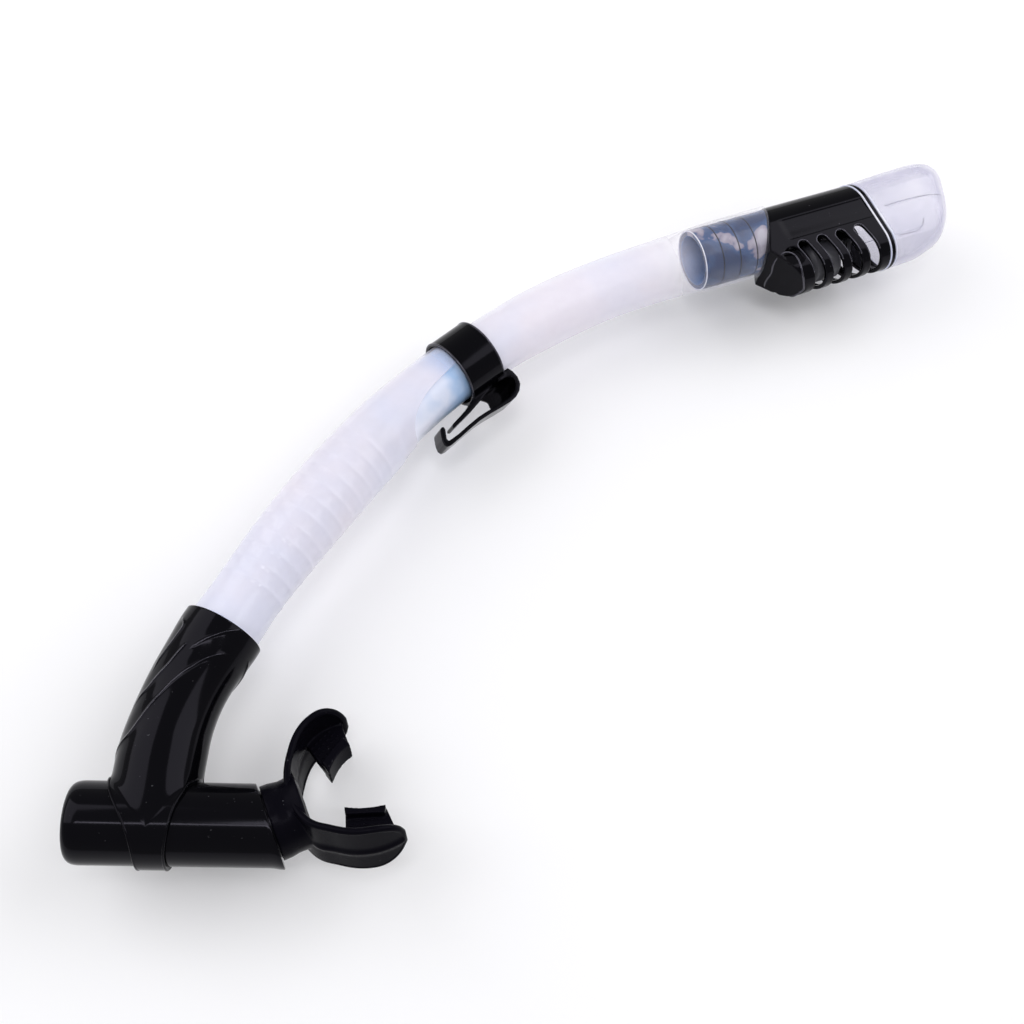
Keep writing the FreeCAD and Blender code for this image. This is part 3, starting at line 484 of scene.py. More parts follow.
coupling_blue = pale_to_blue("coupling_blue")
connector_blue = patchy("connector_blue", (0.06, 0.1, 0.2), 0.25, (90, 3, 0.45, 0.3),
                        [(0.45, (0.010, 0.030, 0.100)), (0.575, (0.030, 0.075, 0.200)),
                         (0.60, (0.26, 0.23, 0.30)), (0.70, (0.42, 0.40, 0.47))], (300, 0.1, 0.2))
bore_blue = patchy("bore_blue", (0.2, 0.36, 0.62), 0.3, (60, 3),
                   [(0.38, (0.020, 0.110, 0.320)), (0.62, (0.085, 0.240, 0.540))], (200, 0.1, 0.2))
# On the connector's lower end this pale colour serves as a painted highlight.
rim_pale = patchy("rim_pale", (0.72, 0.74, 0.86), 0.2, (80, 2),
                  [(0.4, (0.60, 0.63, 0.80)), (0.6, (0.82, 0.82, 0.90))], (300, 0.1, 0.1))

float_grey = patchy("float_grey", (0.05, 0.05, 0.06), 0.4, (70, 3),
                    [(0.3, (0.035, 0.035, 0.045)), (0.7, (0.075, 0.075, 0.085))], (900, 0.2, 0.03))
silicone_white = patchy("silicone_white", (0.72, 0.72, 0.76), 0.4, (90, 2),
                        [(0.3, (0.66, 0.66, 0.7)), (0.7, (0.76, 0.76, 0.8))], (500, 0.15, 0.05),
                        Subsurface_Weight=0.2, Subsurface_Radius=(0.002, 0.002, 0.002))
pin_steel = brushed_steel("pin_steel")


# ---- purge barrel ----

# left end, from its bore round the rim to the outside: (distance from the end, radius)
BARREL_RIM = ((2.2, 10.4), (0.5, 10.4), (0.15, 10.55), (0.0, 10.9), (0.05, 11.4), (0.3, 12.0),
              (0.75, 12.6), (1.4, 13.1), (2.2, 13.45), (3.2, 13.65), (4.4, BARREL_RADIUS))
# right end: (distance back from the end, how much the radius drops)
RIGHT_EDGE = ((0.35, 0.0), (0.2, 0.04), (0.08, 0.14), (0.0, 0.32))
BORE_END = -24.6  # behind the rim of the left end
FLARE = 0.45  # the right end is this much wider on its lower side


def make_barrel():
    """Shell of the barrel: rounded left end, oblique right end with the mouthpiece's hole."""
    turn = around(256)
    straight = BARREL_RIM[-1][0]
    edge = RIGHT_EDGE[0][0]
    x_end = MOUTH_AT[0] - (BARREL_RADIUS * np.cos(turn) - MOUTH_AT[1]) * math.tan(math.radians(MOUTH_TURN))
    flare = FLARE * np.clip(-np.cos(turn), 0, 1) ** 3

    rows = [BARREL.circle(BARREL_END + x, radius, turn) for x, radius in BARREL_RIM]
    for share in np.linspace(0, 1, 60)[1:-1]:
        x = BARREL_END + straight + share * (x_end - edge - straight - BARREL_END)
        rows.append(BARREL.circle(x, BARREL_RADIUS + flare * ease((share - 0.93) / 0.07), turn))
    for back, drop in RIGHT_EDGE:
        rows.append(BARREL.circle(x_end - back, BARREL_RADIUS + flare - drop, turn))

    rim = rows[-1]
    mouth = Frame(MOUTH_AT, math.radians(MOUTH_TURN))
    hole = mouth.circle(0.0, BARREL_BORE, turn)
    for share in (0.35, 0.7, 1.0):
        rows.append(rim + share * (hole - rim))
    for depth in (0.6, 2.5, 4.0):
        rows.append(mouth.circle(-depth, BARREL_BORE, turn))
    for x in (x_end - 8.0, 18.0, 0.0, -18.0, BORE_END):
        rows.append(BARREL.circle(x, BARREL_BORE, turn))
    return grid("barrel_shell", np.array(rows), "snorkel", gloss_black)


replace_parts(make_barrel(), "barrel")


# ---- elbow with its saddle ----

ELBOW_START, ELBOW_END = 15.6, 72.5
ELBOW_LIP = 0.35
ELBOW_BASE = 15.1
ELBOW_BORE = 11.2
SOCKET_START, SOCKET_RADIUS = 60, 13.35
RIDGES_START = 17  # no ridges below this station
SADDLE_RADIUS = 15.0
SADDLE_BORE = 13.85
CUFF_RADIUS = 14.72
HALF_COLUMNS = 161
TUBE_ROWS, LINK_ROWS, SADDLE_ROWS = 240, 6, 80
RIDGE_SCALE = 14.6 * math.pi / 180  # millimetres for a degree round the elbow

elbow_outer = through((10, 15.1), (25, 14.95), (35, 14.4), (45, 14.2), (54, 14.35), (61, 14.7), (66, 15.05),
                      (69, 15.2), (72.5, 15.15))
left_edge = through((-16, -3.3), (-9.9, -4.3), (-4.7, -6.1), (0.7, -8.9), (6, -12.0), (13.6, -14.9),
                    (16, -15.1))
right_edge = through((-16, 6.4), (-11.5, 6.7), (-7.5, 7.3), (-2.2, 8.2), (3.3, 9.4), (7.6, 11.0),
                     (11.6, 12.6), (13.6, 14.9), (16, 15.1))

# raised lines on the elbow: (station, degrees round the tube)
RIDGES = (
    ((62.7, 132), (60.8, 121), (58.7, 113), (55.9, 105), (52.5, 98), (49.1, 90), (44.9, 82), (40, 74),
     (35.6, 66), (30.8, 58), (26.1, 47), (22.5, 25), (20.2, 14), (18, 2)),
    ((67.3, 34), (65.3, 48), (63.3, 51), (59.1, 48), (54, 43), (50.7, 39), (46.2, 36)),
    ((60, 74), (55, 69), (50, 64), (44.6, 54), (41.4, 48), (38.8, 39), (34, 22)),
    ((71.8, 125), (68.2, 110), (64, 97), (60, 87), (57, 81)),
    ((66, 168), (62.5, 182), (58, 200), (50, 222), (40, 245), (30, 268), (23, 290)),
    ((66, 205), (60, 228), (52, 250), (43, 272), (34, 292), (26, 318)),
    ((68, 262), (61, 281), (53, 300), (45, 318)),
)


def ridge_fade(share):
    """Strength of a ridge along its length, none at its ends."""
    return ease(share / 0.12) * ease((1 - share) / 0.2)


def ridge_height(s, phi):
    """Height of the raised lines that swirl round the elbow."""
    height = np.zeros(s.shape)
    degrees = np.degrees(phi) % 360
    for ridge in RIDGES:
        track = spline(ridge, closed=False)
        place = np.linspace(0, 1, len(track))
        best = np.full(s.shape, 1e9)
        near = np.zeros(s.shape)
        for k in range(len(track) - 1):
            # nearest place on this straight piece of the track
            a, b = track[k], track[k + 1]
            du, dv = b[0] - a[0], (b[1] - a[1]) * RIDGE_SCALE
            pu, pv = s - a[0], (degrees - a[1]) * RIDGE_SCALE
            t = np.clip((pu * du + pv * dv) / (du * du + dv * dv), 0, 1)
            distance = np.hypot(pu - t * du, pv - t * dv)
            closer = distance < best
            best = np.where(closer, distance, best)
            near = np.where(closer, place[k] + t * (place[k + 1] - place[k]), near)
        crest = 0.30 * np.exp(-(best / 0.42) ** 2) + 0.12 * np.exp(-(best / 1.5) ** 2)
        height += ridge_fade(near) * crest
    return height


def elbow_tube(angle):
    """Outer and inner rows of the elbow's tube, from its lip down to the saddle."""
    stations = np.linspace(ELBOW_END, ELBOW_START, TUBE_ROWS)
    raised = ridge_height(*np.broadcast_arrays(stations[:, None], angle[None, :]))
    raised = raised * ease((stations[:, None] - RIDGES_START) / 6)
    outer, inner = [], []
    for s, ridges in zip(stations, raised):
        past = max(s - ELBOW_END + ELBOW_LIP, 0.0)
        drop = ELBOW_LIP - math.sqrt(max(ELBOW_LIP**2 - past**2, 0.0))
        outer.append(on_tube(s, elbow_outer(s) + ridges - drop, angle))
        inner.append(on_tube(s, SOCKET_RADIUS if s > SOCKET_START else ELBOW_BORE, angle))
    return outer, inner


def saddle(half_turn, sign):
    """Outer and inner rows of the strap round the barrel, from the tube to the barrel's far side."""
    x_tube = -ELBOW_BASE * np.cos(half_turn)
    start = np.arcsin(np.clip(np.sin(half_turn), 0, 1))
    y_tube = SADDLE_RADIUS * np.cos(start)
    share = np.clip((x_tube - left_edge(y_tube)) / (right_edge(y_tube) - left_edge(y_tube)), 0, 1)
    share[0], share[-1] = 0.0, 1.0
    outer, inner = [], []
    for done in np.linspace(0, 1, SADDLE_ROWS):
        psi = start + (math.pi - start) * done
        y = SADDLE_RADIUS * np.cos(psi)
        x = left_edge(y) + share * (right_edge(y) - left_edge(y))
        outer.append(np.stack((x, y, sign * SADDLE_RADIUS * np.sin(psi)), -1))
        inner.append(np.stack((x, SADDLE_BORE * np.cos(psi), sign * SADDLE_BORE * np.sin(psi)), -1))
    return outer, inner


def joined(upper, lower):
    """Rows of two stretches with straight rows between them."""
    shares = np.linspace(0, 1, LINK_ROWS + 2)[1:-1]
    link = [upper[-1] + share * (lower[0] - upper[-1]) for share in shares]
    return np.array(upper + link + lower)


def rounded_seam(rows, seam, reach=16):
    """Rounds the fold where the tube meets the saddle."""
    for _ in range(60):
        window = slice(seam - reach, seam + reach)
        before = rows[seam - reach - 1:seam + reach - 1]
        after = rows[seam - reach + 1:seam + reach + 1]
        rows[window] = 0.5 * rows[window] + 0.5 * (before + after) / 2
    return rows


def elbow_faces(rows):
    """Faces of the near and far half, outside and inside, and of the edges between."""
    block = rows * HALF_COLUMNS
    faces = []
    for surface in range(4):
        faces += grid_faces(rows, HALF_COLUMNS, False, False, surface * block)
    for half in (0, 1):
        outside, inside = half * block, (half + 2) * block
        for j in range(HALF_COLUMNS - 1):
            faces.append((outside + j, outside + j + 1, inside + j + 1, inside + j))
        for i in range(TUBE_ROWS + LINK_ROWS, rows - 1):
            for j in (0, HALF_COLUMNS - 1):
                a, b = i * HALF_COLUMNS + j, (i + 1) * HALF_COLUMNS + j
                faces.append((outside + a, outside + b, inside + b, inside + a))
    return faces


def make_elbow():
    """Tube and saddle in two mirrored halves, with the saddle's edges rounded."""
    half_turn = np.linspace(0, math.pi, HALF_COLUMNS)
    outside, inside = [], []
    for sign in (1, -1):
        tube_out, tube_in = elbow_tube(sign * half_turn)
        strap_out, strap_in = saddle(half_turn, sign)
        outside.append(rounded_seam(joined(tube_out, strap_out), TUBE_ROWS + LINK_ROWS // 2))
        inside.append(joined(tube_in, strap_in))
    vertices = np.concatenate([surface.reshape(-1, 3) for surface in outside + inside])
    faces = elbow_faces(len(outside[0]))
    obj = piece("elbow_shell", vertices, faces, "snorkel", gloss_black)
    bevel = obj.modifiers.new("edge", "BEVEL")
    bevel.width = 0.22 * MM
    bevel.segments = 3
    bevel.limit_method = "ANGLE"
    bevel.angle_limit = math.radians(50)
    bevel.harden_normals = False
    return obj


def cuff_bead(side, edge, inset):
    """Raised bead along one edge of the saddle."""
    turn = np.radians(np.linspace(24, 336, 160))
    y, z = CUFF_RADIUS * np.cos(turn), CUFF_RADIUS * np.sin(turn)
    path = np.stack((edge(y) + inset, y, z), -1)
    bead("cuff_bead_" + side, path, 0.5, "snorkel", gloss_black, closed=False)


def ridge_bead(index, ridge):
    """Thin bead on a ridge's crest; it sinks into the elbow at both ends."""
    track = spline(ridge, closed=False)
    lift = 0.42 * ridge_fade(np.linspace(0, 1, len(track))) - 0.2
    crest = on_tube(track[:, 0], elbow_outer(track[:, 0]) + lift, np.radians(track[:, 1]))
    bead("elbow_ridge%d" % index, crest, 0.2, "snorkel", painted_edge_highlight, closed=False)


cuff_bead("left", left_edge, 0.35)
cuff_bead("right", right_edge, -0.35)
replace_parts(make_elbow(), "elbow")
# The ridge beads carry the painted edge highlight.
for index, ridge in enumerate(RIDGES):
    ridge_bead(index, ridge)


# ---- hose, coupling and upper tube ----

HOSE_START, HOSE_END = 60, 213
TUBE_START, TUBE_END = 216, 370
SLANT_FROM = 335  # the tube's slanted end is drawn from here
COUPLING_START, COUPLING_STEP, COUPLING_END = 171, 215.5, 226
COUPLING_IN_HOSE, COUPLING_IN_TUBE, COUPLING_BORE = 12.0, 10.95, 9.6
LIP_STATION, LIP_RADIUS = 72.9, 13.25
GROOVES = 90.3 + 6.3 * np.arange(12)
GROOVE_DEPTH = 0.95
GROOVE_REACH = 1.9

# the scoop at the hose's upper end: an ellipse cut from its lower side, with a short step beside it
SCOOP_FROM = 165
SCOOP_RIM = 207
SCOOP_LENGTH = 30
SCOOP_EDGE = -3.3
STEP_WIDTH = 1.3

hose_outer = through((60, 13.0), (74, 13.2), (84, 12.9), (92, 12.92), (105, 13.5), (120, 14.0), (137, 14.4),
                     (156, 14.3), (175, 14.0), (186, 13.45), (198, 13.05), (213, 12.9))
hose_inner = through((59, 11.4), (88, 11.4), (100, 11.8), (114, 12.2), (137, 12.25), (160, 12.2),
                     (170, 12.1), (214, 12.1))
tube_outer = through((216, 12.45), (242, 12.44), (253, 12.8), (268, 12.9), (288, 12.7), (304, 12.85),
                     (313, 12.98), (325, 13.36), (334, 13.86), (343.5, 14.1), (356, 14.5), (364, 14.6),
                     (376, 14.6))
tube_inner = through((216, 11.05), (316, 11.05), (322, 11.3), (331, 13.2), (376, 13.2))


def sleeve(name, profile, count, material, warp=None):
    """Tube wall from a profile turned round the middle line; warp moves its stations."""
    phi = around(count)
    rows = []
    for s, r in profile:
        stations = np.full(count, s) if warp is None else warp(s, phi)
        rows.append(on_tube(stations, r, phi))
    return grid(name, np.array(rows), "snorkel", material)


def hose_inside(s):
    """Bore with shallow round grooves between the ribs."""
    nearest = np.min(np.abs(s - GROOVES))
    return float(hose_inner(s)) + GROOVE_DEPTH * math.sqrt(max(1 - (nearest / GROOVE_REACH) ** 2, 0))


def hose_outside(s):
    """Outside with a faint ripple over each inner groove."""
    nearest = np.min(np.abs(s - GROOVES))
    return float(hose_outer(s)) + 0.17 * math.exp(-nearest**2)


def stretched(s, start, old_end, new_end):
    """Moves the stations past start so that old_end comes to lie at new_end."""
    t = np.clip((s - start) / (old_end - start), 0, None)
    return np.where(s > start, start + t * (new_end - start), s)


def scooped(s, phi):
    """Pulls the hose's upper end back on the lower side, along an ellipse."""
    y = 12.9 * np.cos(phi)
    inside = np.clip(1 - ((y + 14) / 10.7) ** 2, 0, 1)
    step = SCOOP_RIM + (HOSE_END - SCOOP_RIM) * ease((y - SCOOP_EDGE) / STEP_WIDTH)
    end = np.where(y < SCOOP_EDGE, SCOOP_RIM - SCOOP_LENGTH * np.sqrt(inside), step)
    return stretched(s, SCOOP_FROM, HOSE_END, end)


def slanted_end(s, phi):
    """Cuts the tube's upper end along the dry top's slanted face."""
    reach = 8.7 + 14.0 * np.cos(phi) * TOP_SLANT
    return stretched(s, SLANT_FROM, TUBE_END, TOP_STATION + reach)


def make_hose():
    """Milky hose, grooved inside, its upper end scooped."""
    profile = ring_profile(HOSE_START, HOSE_END, hose_outside, hose_inside, 0.35, 460)
    return sleeve("hose_sleeve", profile, 160, milky_hose, scooped)


def coupling_outside(s):
    return COUPLING_IN_HOSE if s < COUPLING_STEP else COUPLING_IN_TUBE


def make_coupling():
    """Sleeve inside the hose's end; its upper part steps in to fit the upper tube."""
    profile = ring_profile(COUPLING_START, COUPLING_END, coupling_outside, lambda s: COUPLING_BORE, 0.3, 240)
    return sleeve("coupling_sleeve", profile, 128, coupling_blue)


def make_tube():
    """Milky upper tube, its upper end cut on the slant."""
    profile = ring_profile(TUBE_START, TUBE_END, lambda s: float(tube_outer(s)),
                           lambda s: float(tube_inner(s)), 0.3, 260)
    return sleeve("tube_sleeve", profile, 160, clear_tube, slanted_end)


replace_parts(make_hose(), "hose")
bead("hose_lip", on_tube(LIP_STATION, LIP_RADIUS, around(128)), 0.32, "snorkel", rim_pale)
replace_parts(make_coupling(), "hose_coupling")
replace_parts(make_tube(), "upper_tube")


# ---- connector and its rings ----

CONNECTOR_START, CONNECTOR_END = -24.5, 8.4
CONNECTOR_RADIUS = 13.1
CONNECTOR_BORE = 10.6
RING_PITCH = 8.1
RING_RADIUS, RING_WIDTH, RING_HEIGHT = 12.76, 0.42, 0.45


def make_connector():
    """Sleeve round the dry top's axis; its upper end follows the housing's slant."""
    turn = around(160)
    profile = ring_profile(CONNECTOR_START, CONNECTOR_END, lambda x: CONNECTOR_RADIUS,
                           lambda x: CONNECTOR_BORE, 0.3, 90)
    rows = []
    for x, r in profile:
        share = (x - CONNECTOR_START) / (CONNECTOR_END - CONNECTOR_START)
        rows.append(TOP.circle(x + TOP_SLANT * share * r * np.cos(turn), r, turn))
    obj = grid("connector_sleeve", np.array(rows), "snorkel", connector_blue)
    obj.data.materials.append(bore_blue)
    for polygon in obj.data.polygons:
        offset = np.array(polygon.center) / MM + ORIGIN - TOP.at
        off_axis = offset - np.dot(offset, TOP.x) * TOP.x
        if np.linalg.norm(off_axis) < CONNECTOR_BORE + 0.2:
            polygon.material_index = 1
    return obj


def make_ring(name, x):
    """Thin sealing ring round the connector."""
    turn = around(128)
    rows = []
    for a in around(14):
        radius = RING_RADIUS + RING_HEIGHT * math.sin(a)
        rows.append(TOP.circle(x + RING_WIDTH * np.cos(a), radius, turn))
    return grid(name, np.array(rows), "snorkel", satin_black)


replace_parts(make_connector(), "top_connector")
# Pale bead round the connector's lower end: painted highlight on its rounded edge.
bead("connector_rim_highlight", TOP.circle(CONNECTOR_START, 12.85, around(128)), 0.28, "snorkel", rim_pale)
for index, place in enumerate(("upper", "middle", "lower")):
    node = "connector_ring_" + place
    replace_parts(make_ring("seal_" + node, -RING_PITCH * index), node)


# ---- valve housing, keeper and mouthpiece, softened from the exact solids ----

def softened(name, node, body, material, voxel, passes, reshape=None):
    """Copy of a solid, remeshed finely (voxel in mm), its sharp edges worn round."""
    mesh = nodes[node].data.copy()
    obj = bpy.data.objects.new(name, mesh)
    bpy.context.scene.collection.objects.link(obj)
    mesh.materials.clear()
    mesh.materials.append(material)
    remesh = obj.modifiers.new("remesh", "REMESH")
    remesh.mode = "VOXEL"
    remesh.voxel_size = voxel * MM
    smooth = obj.modifiers.new("soften", "SMOOTH")
    smooth.factor = 0.5
    smooth.iterations = passes
    graph = bpy.context.evaluated_depsgraph_get()
    result = bpy.data.meshes.new_from_object(obj.evaluated_get(graph))
    obj.modifiers.clear()
    obj.data = result
    result.materials.clear()
    result.materials.append(material)
    result.shade_smooth()
    if reshape is not None:
        points = np.empty(len(result.vertices) * 3)
        result.vertices.foreach_get("co", points)
        moved = reshape(points.reshape(-1, 3) / MM + ORIGIN)
        result.vertices.foreach_set("co", ((moved - ORIGIN) * MM).ravel())
        result.update()
    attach(obj, body)
    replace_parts(obj, node)
    return obj


def panel_depth(x, across):
    """Depth of the shallow panel below the crease along both sides of the housing."""
    return 0.5 * ease((-0.6 - across) / 0.9) * ease((across + 13.0) / 9.0) * ease((x - 12.0) / 4.0)


def housing_relief(points):
    """Sinks the panels into the housing's sides."""
    offset = points - TOP.at
    height = offset[:, 2]
    depth = panel_depth(offset @ TOP.x, offset @ TOP.y)
    points[:, 2] -= np.where(np.abs(height) > 12.4, depth * np.sign(height), 0.0)
    return points


KEEPER_END = 8.1
KEEPER_RIM = 14.4
softened("housing_shell", "valve_housing", "snorkel", gloss_black, 0.3, 8, housing_relief)
softened("keeper_clip", "keeper", "keeper", gloss_black, 0.28, 6)
# The keeper's rim beads carry the painted edge highlight.
for name, end in (("low", -KEEPER_END), ("high", KEEPER_END)):
    rim = KEEPER.circle(end, KEEPER_RIM, around(128))
    bead("keeper_rim_" + name, rim, 0.45, "keeper", painted_edge_highlight)


def keeper_web():
    """Thin web between the keeper's arm and its tongue, its edges slightly drawn in."""
    outline = spline([(-3.0, -13.6), (3.0, -13.4), (8.0, -13.5), (10.8, -15.6), (10.9, -18.4),
                      (9.0, -21.0), (5.5, -22.2), (1.0, -22.4), (-1.0, -20.6), (-0.6, -17.6)], 6)
    drawn_in = 0.985 * outline + 0.015 * outline.mean(0)
    levels = ((drawn_in, -5.9), (outline, -5.7), (outline, -4.9), (drawn_in, -4.7))
    points = np.concatenate([KEEPER.point(*line.T, height) for line, height in levels])
    count = len(outline)
    faces = grid_faces(4, count) + [tuple(range(count)), tuple(range(3 * count, 4 * count))]
    piece("keeper_web", points, faces, "keeper", gloss_black, smooth=False)


keeper_web()


FLANGE_AT = 34.0
FLANGE_DEPTH, FLANGE_HEIGHT = 26.0, 28.3
LIP_DEPTH, LIP_HEIGHT = 24.9, 27.2
LIP_LEVEL = 11.6


def mouth_warp(points):
    """Opens the upper wing of the mouthpiece, draws the lower one in and raises a soft fold on both."""
    offset = points - MOUTH.at
    x, y, z = offset @ MOUTH.x, offset @ MOUTH.y, offset @ MOUTH.z
    outward = np.stack(((x - FLANGE_AT) / FLANGE_DEPTH, y / FLANGE_HEIGHT))
    from_middle = np.hypot(*outward)
    outward = outward / np.maximum(from_middle, 0.01)
    fold = 0.7 * np.exp(-((z + 1.0) / 1.5) ** 2)
    fold = fold * ease((np.abs(y) - 10) / 8) * ease((from_middle - 0.9) / 0.03)
    x, y = x + fold * outward[0], y + fold * outward[1]
    upper = ease((y - 1) / 16)
    lower = ease((-y - 1) / 22)
    x = x - 0.16 * upper * np.clip(x - 14, 0, None)
    y = y + 2.0 * upper * ease((x - 8) / 16) - 0.6 * ease((y - 20) / 8)
    y = y + 3.7 * lower * ease((x - 6) / 12)
    return MOUTH.point(x, y, z)


softened("mouthpiece_soft", "mouthpiece", "mouthpiece", soft_black, 0.35, 12, mouth_warp)


# ---- thin lines on the housing ----

HOUSING_LOBES = (13.6, 11.5, 18.0, 0.0)  # upper and lower lobe, distance between them, rise
SLOTS = 4
SLOT_PITCH = 9.3
SLOT_LEAN = math.radians(17.0)
SLOT_HALF = 2.75


def housing_side(x, across):
    """Points on the near side of the housing."""
    height = near_side(lobes(*HOUSING_LOBES), across)
    return TOP.point(x, across, height - panel_depth(x, across) - 0.08)


def slot_rim(index):
    """Line up one side of a slot, round its top and down the other side."""
    turn = np.linspace(math.pi, 0, 18)
    up = np.linspace(-11.5, -0.3, 14)
    u = np.concatenate((np.full(14, -SLOT_HALF), SLOT_HALF * np.cos(turn), np.full(14, SLOT_HALF)))
    v = np.concatenate((up, SLOT_HALF * np.sin(turn), up[::-1]))
    x = 19.0 + SLOT_PITCH * index + u * math.cos(SLOT_LEAN) - v * math.sin(SLOT_LEAN)
    across = -15.1 + u * math.sin(SLOT_LEAN) + v * math.cos(SLOT_LEAN)
    return housing_side(x, across)


def arch_rim():
    """Raised line round the arched recess at the housing's lower left end."""
    arch = spline([(5.9, -16.9, 0.0), (5.4, -16.4, 5.1), (5.6, -16.3, 9.0), (7.0, -16.2, 11.3),
                   (10.0, -15.9, 11.5), (13.0, -17.2, 10.7), (13.9, -20.2, 10.4), (13.6, -24.1, 9.7),
                   (13.9, -27.0, 7.0), (14.9, -28.4, 3.1), (15.6, -29.0, 0.0)], closed=False)
    return TOP.point(*arch.T)


def mirrored_beads(name, path, radius, material):
    """One bead on the near side of the part and its mirror image on the far side."""
    for side, flip in (("near", 1), ("far", -1)):
        bead(name + "_" + side, path * (1, 1, flip), radius, "snorkel", material, closed=False)


# The slot and arch rims carry the painted edge highlight.
for index in range(SLOTS):
    mirrored_beads("slot_rim%d" % index, slot_rim(index), 0.3, painted_edge_highlight)
mirrored_beads("arch_rim", arch_rim(), 0.45, painted_edge_highlight)


# ---- lip and bite tabs of the mouthpiece ----

def flange_rim():
    """Rolled lip round the flange's edge."""
    turn = np.radians(np.linspace(-102, 102, 110))
    x, y = FLANGE_AT - LIP_DEPTH * np.cos(turn), LIP_HEIGHT * np.sin(turn)
    height = np.sqrt(np.clip(LIP_LEVEL**2 - np.clip(x - 28.0, 0, None) ** 2, 0, None)) - 0.75
    upper = MOUTH.point(x, y, height)
    lower = MOUTH.point(x, y, -height)
    return np.concatenate((upper, lower[::-1]))


bead("flange_lip", mouth_warp(flange_rim()), 1.25, "mouthpiece", soft_black, sides=14)

TAB_CORNER = np.array((24.3, 10.2))
TAB_EDGE = np.array((12.6, 6.0))
TAB_ALONG = np.array((0.8875, 0.4607))
TAB_ACROSS = np.array((-0.4607, 0.8875))
GRIP_ROWS = (3.4, 5.6, 7.8, 10.0)
GRIPS_IN_ROW = 5
GRIP_SIDES = 16


def grip_pad(centre, side, face):
    """Points of one rounded pad, on one tab (side) and one face of it: two levels and a smaller top."""
    points = []
    for level, grow in ((1.35, 1.0), (1.62, 0.98), (1.75, 0.8)):
        for turn in around(GRIP_SIDES):
            c, s = math.cos(turn), math.sin(turn)
            u = 0.85 * grow * math.copysign(abs(c) ** 0.5, c)
            v = 0.5 * grow * math.copysign(abs(s) ** 0.5, s)
            x, y = centre + u * TAB_ALONG + v * TAB_ACROSS
            points.append(MOUTH.point(np.array(x), np.array(side * y), np.array(face * level)))
    return points


def grip_centres():
    """Middles of the pads on one tab, every other row half a step on."""
    for row, offset in enumerate(GRIP_ROWS):
        for step in range(GRIPS_IN_ROW):
            share = (step + 0.5 + 0.25 * (row % 2)) / 5.6
            yield TAB_CORNER + share * TAB_EDGE + offset * TAB_ACROSS + (1.4, 0.0)


def bite_grips():
    """Rows of small raised pads on both faces of the bite tabs."""
    vertices, faces = [], []
    for side in (1, -1):
        for face in (1, -1):
            for centre in grip_centres():
                start = len(vertices)
                vertices += grip_pad(centre, side, face)
                faces += grid_faces(3, GRIP_SIDES, start=start)
                faces.append(tuple(range(start + 2 * GRIP_SIDES, start + 3 * GRIP_SIDES)))
                faces.append(tuple(range(start, start + GRIP_SIDES)))
    points = mouth_warp(np.array(vertices))
    return piece("bite_grips", points, faces, "mouthpiece", soft_black)


bite_grips()
softened("trim_band", "trim_ring", "snorkel", gloss_black, 0.25, 4)


# ---- clear cap ----

# place along the axis, upper lobe, lower lobe, distance between them, rise of the upper lobe
CAP = ((50, 13.3, 11.2, 18.0, 0.0), (66, 14.2, 11.3, 18.2, 0.1), (76, 14.5, 11.3, 17.6, 0.3),
       (84, 14.5, 11.0, 15.7, 0.5), (93, 14.4, 10.7, 13.2, 0.6), (102.1, 14.4, 10.5, 11.5, 0.6))
cap_values = [through(*((row[0], row[k]) for row in CAP)) for k in range(1, 5)]
CROWN = 84.0
CROWN_LENGTH = 18.1
CAP_START = 57.9
CAP_WALL = 1.3
SEAM_LOBES = (13.55, 11.45, 18.0, 0.0)
CAP_LEAN = 0.0998  # the cap's seam leans back by this share of the place across it

# furrows pressed into the cap: place across, first and last place along
FURROWS = ((-7.8, 62, 92), (-20.0, 61, 84))
FOLDS = {
    "upper": ((63.0, -7.8), (70.0, -7.7), (77.6, -7.8), (84.0, -8.1), (89.2, -8.5), (93.6, -8.9)),
    "lower": ((61.8, -22.5), (67.0, -22.7), (73.0, -22.6), (76.5, -21.0), (78.4, -18.0)),
}


def cap_profile(x):
    """Lobes, distance and rise of the cap at one place, closing to a blunt crown."""
    upper, lower, distance, rise = (float(f(x)) for f in cap_values)
    t = min(max((x - CROWN) / CROWN_LENGTH, 0.0), 1.0)
    closing = (1 - t**2.5) ** 0.4
    return upper * closing, lower * closing, distance * closing**2.2, rise + 4.0 * t * t


def seam_lean(x, across):
    """How far a point moves along the axis so that the cap's open end meets the leaning seam."""
    return -CAP_LEAN * across * np.clip((75.0 - x) / 17.0, 0, 1)


def cap_row(x, wall):
    """Points round the cap at one place; wall is the depth inside the outer surface."""
    upper, lower, distance, rise = cap_profile(x)
    shrink = wall * min(max((CROWN + CROWN_LENGTH - x) / 4.1, 0.0), 1.0)
    across, height = lobes(max(upper - shrink, 0.15), max(lower - shrink, 0.1), distance, rise).T
    if wall == 0:
        for line, first, last in FURROWS:
            furrow = np.exp(-((across - line) / 0.45) ** 2) * ease((x - first) / 5) * ease((last - x) / 8)
            height = height - 0.4 * furrow * np.sign(height)
    inset = wall * ease((x - 90) / 12)
    return TOP.point(x + seam_lean(x, across) - inset, across, height)


def make_cap():
    """Outer surface of the cap from its open end to the crown, and the inner one back."""
    crown = CROWN + CROWN_LENGTH * np.sin(np.linspace(0, math.pi / 2, 70)) ** 0.8
    places = np.concatenate((np.linspace(CAP_START, CROWN, 80)[:-1], crown))
    outside = [cap_row(x, 0.0) for x in places]
    inside = [cap_row(x, CAP_WALL) for x in places]
    return grid("cap_shell", np.array(outside + inside[::-1]), "snorkel", cap_clear)


def cap_side(x, across):
    """Point on the near side of the cap, at a place along and across it."""
    height = near_side(lobes(*cap_profile(x)), across)
    return TOP.point(np.array(x + seam_lean(x, across)), np.array(across), height - 0.1)


def seam_bead(name, x, size, radius):
    """Pale line round the cap's open end; size scales the outline across."""
    across, height = lobes(*SEAM_LOBES, 240).T
    path = TOP.point(x - CAP_LEAN * across, size * across, size * height)
    bead(name, path, radius, "snorkel", rim_pale)


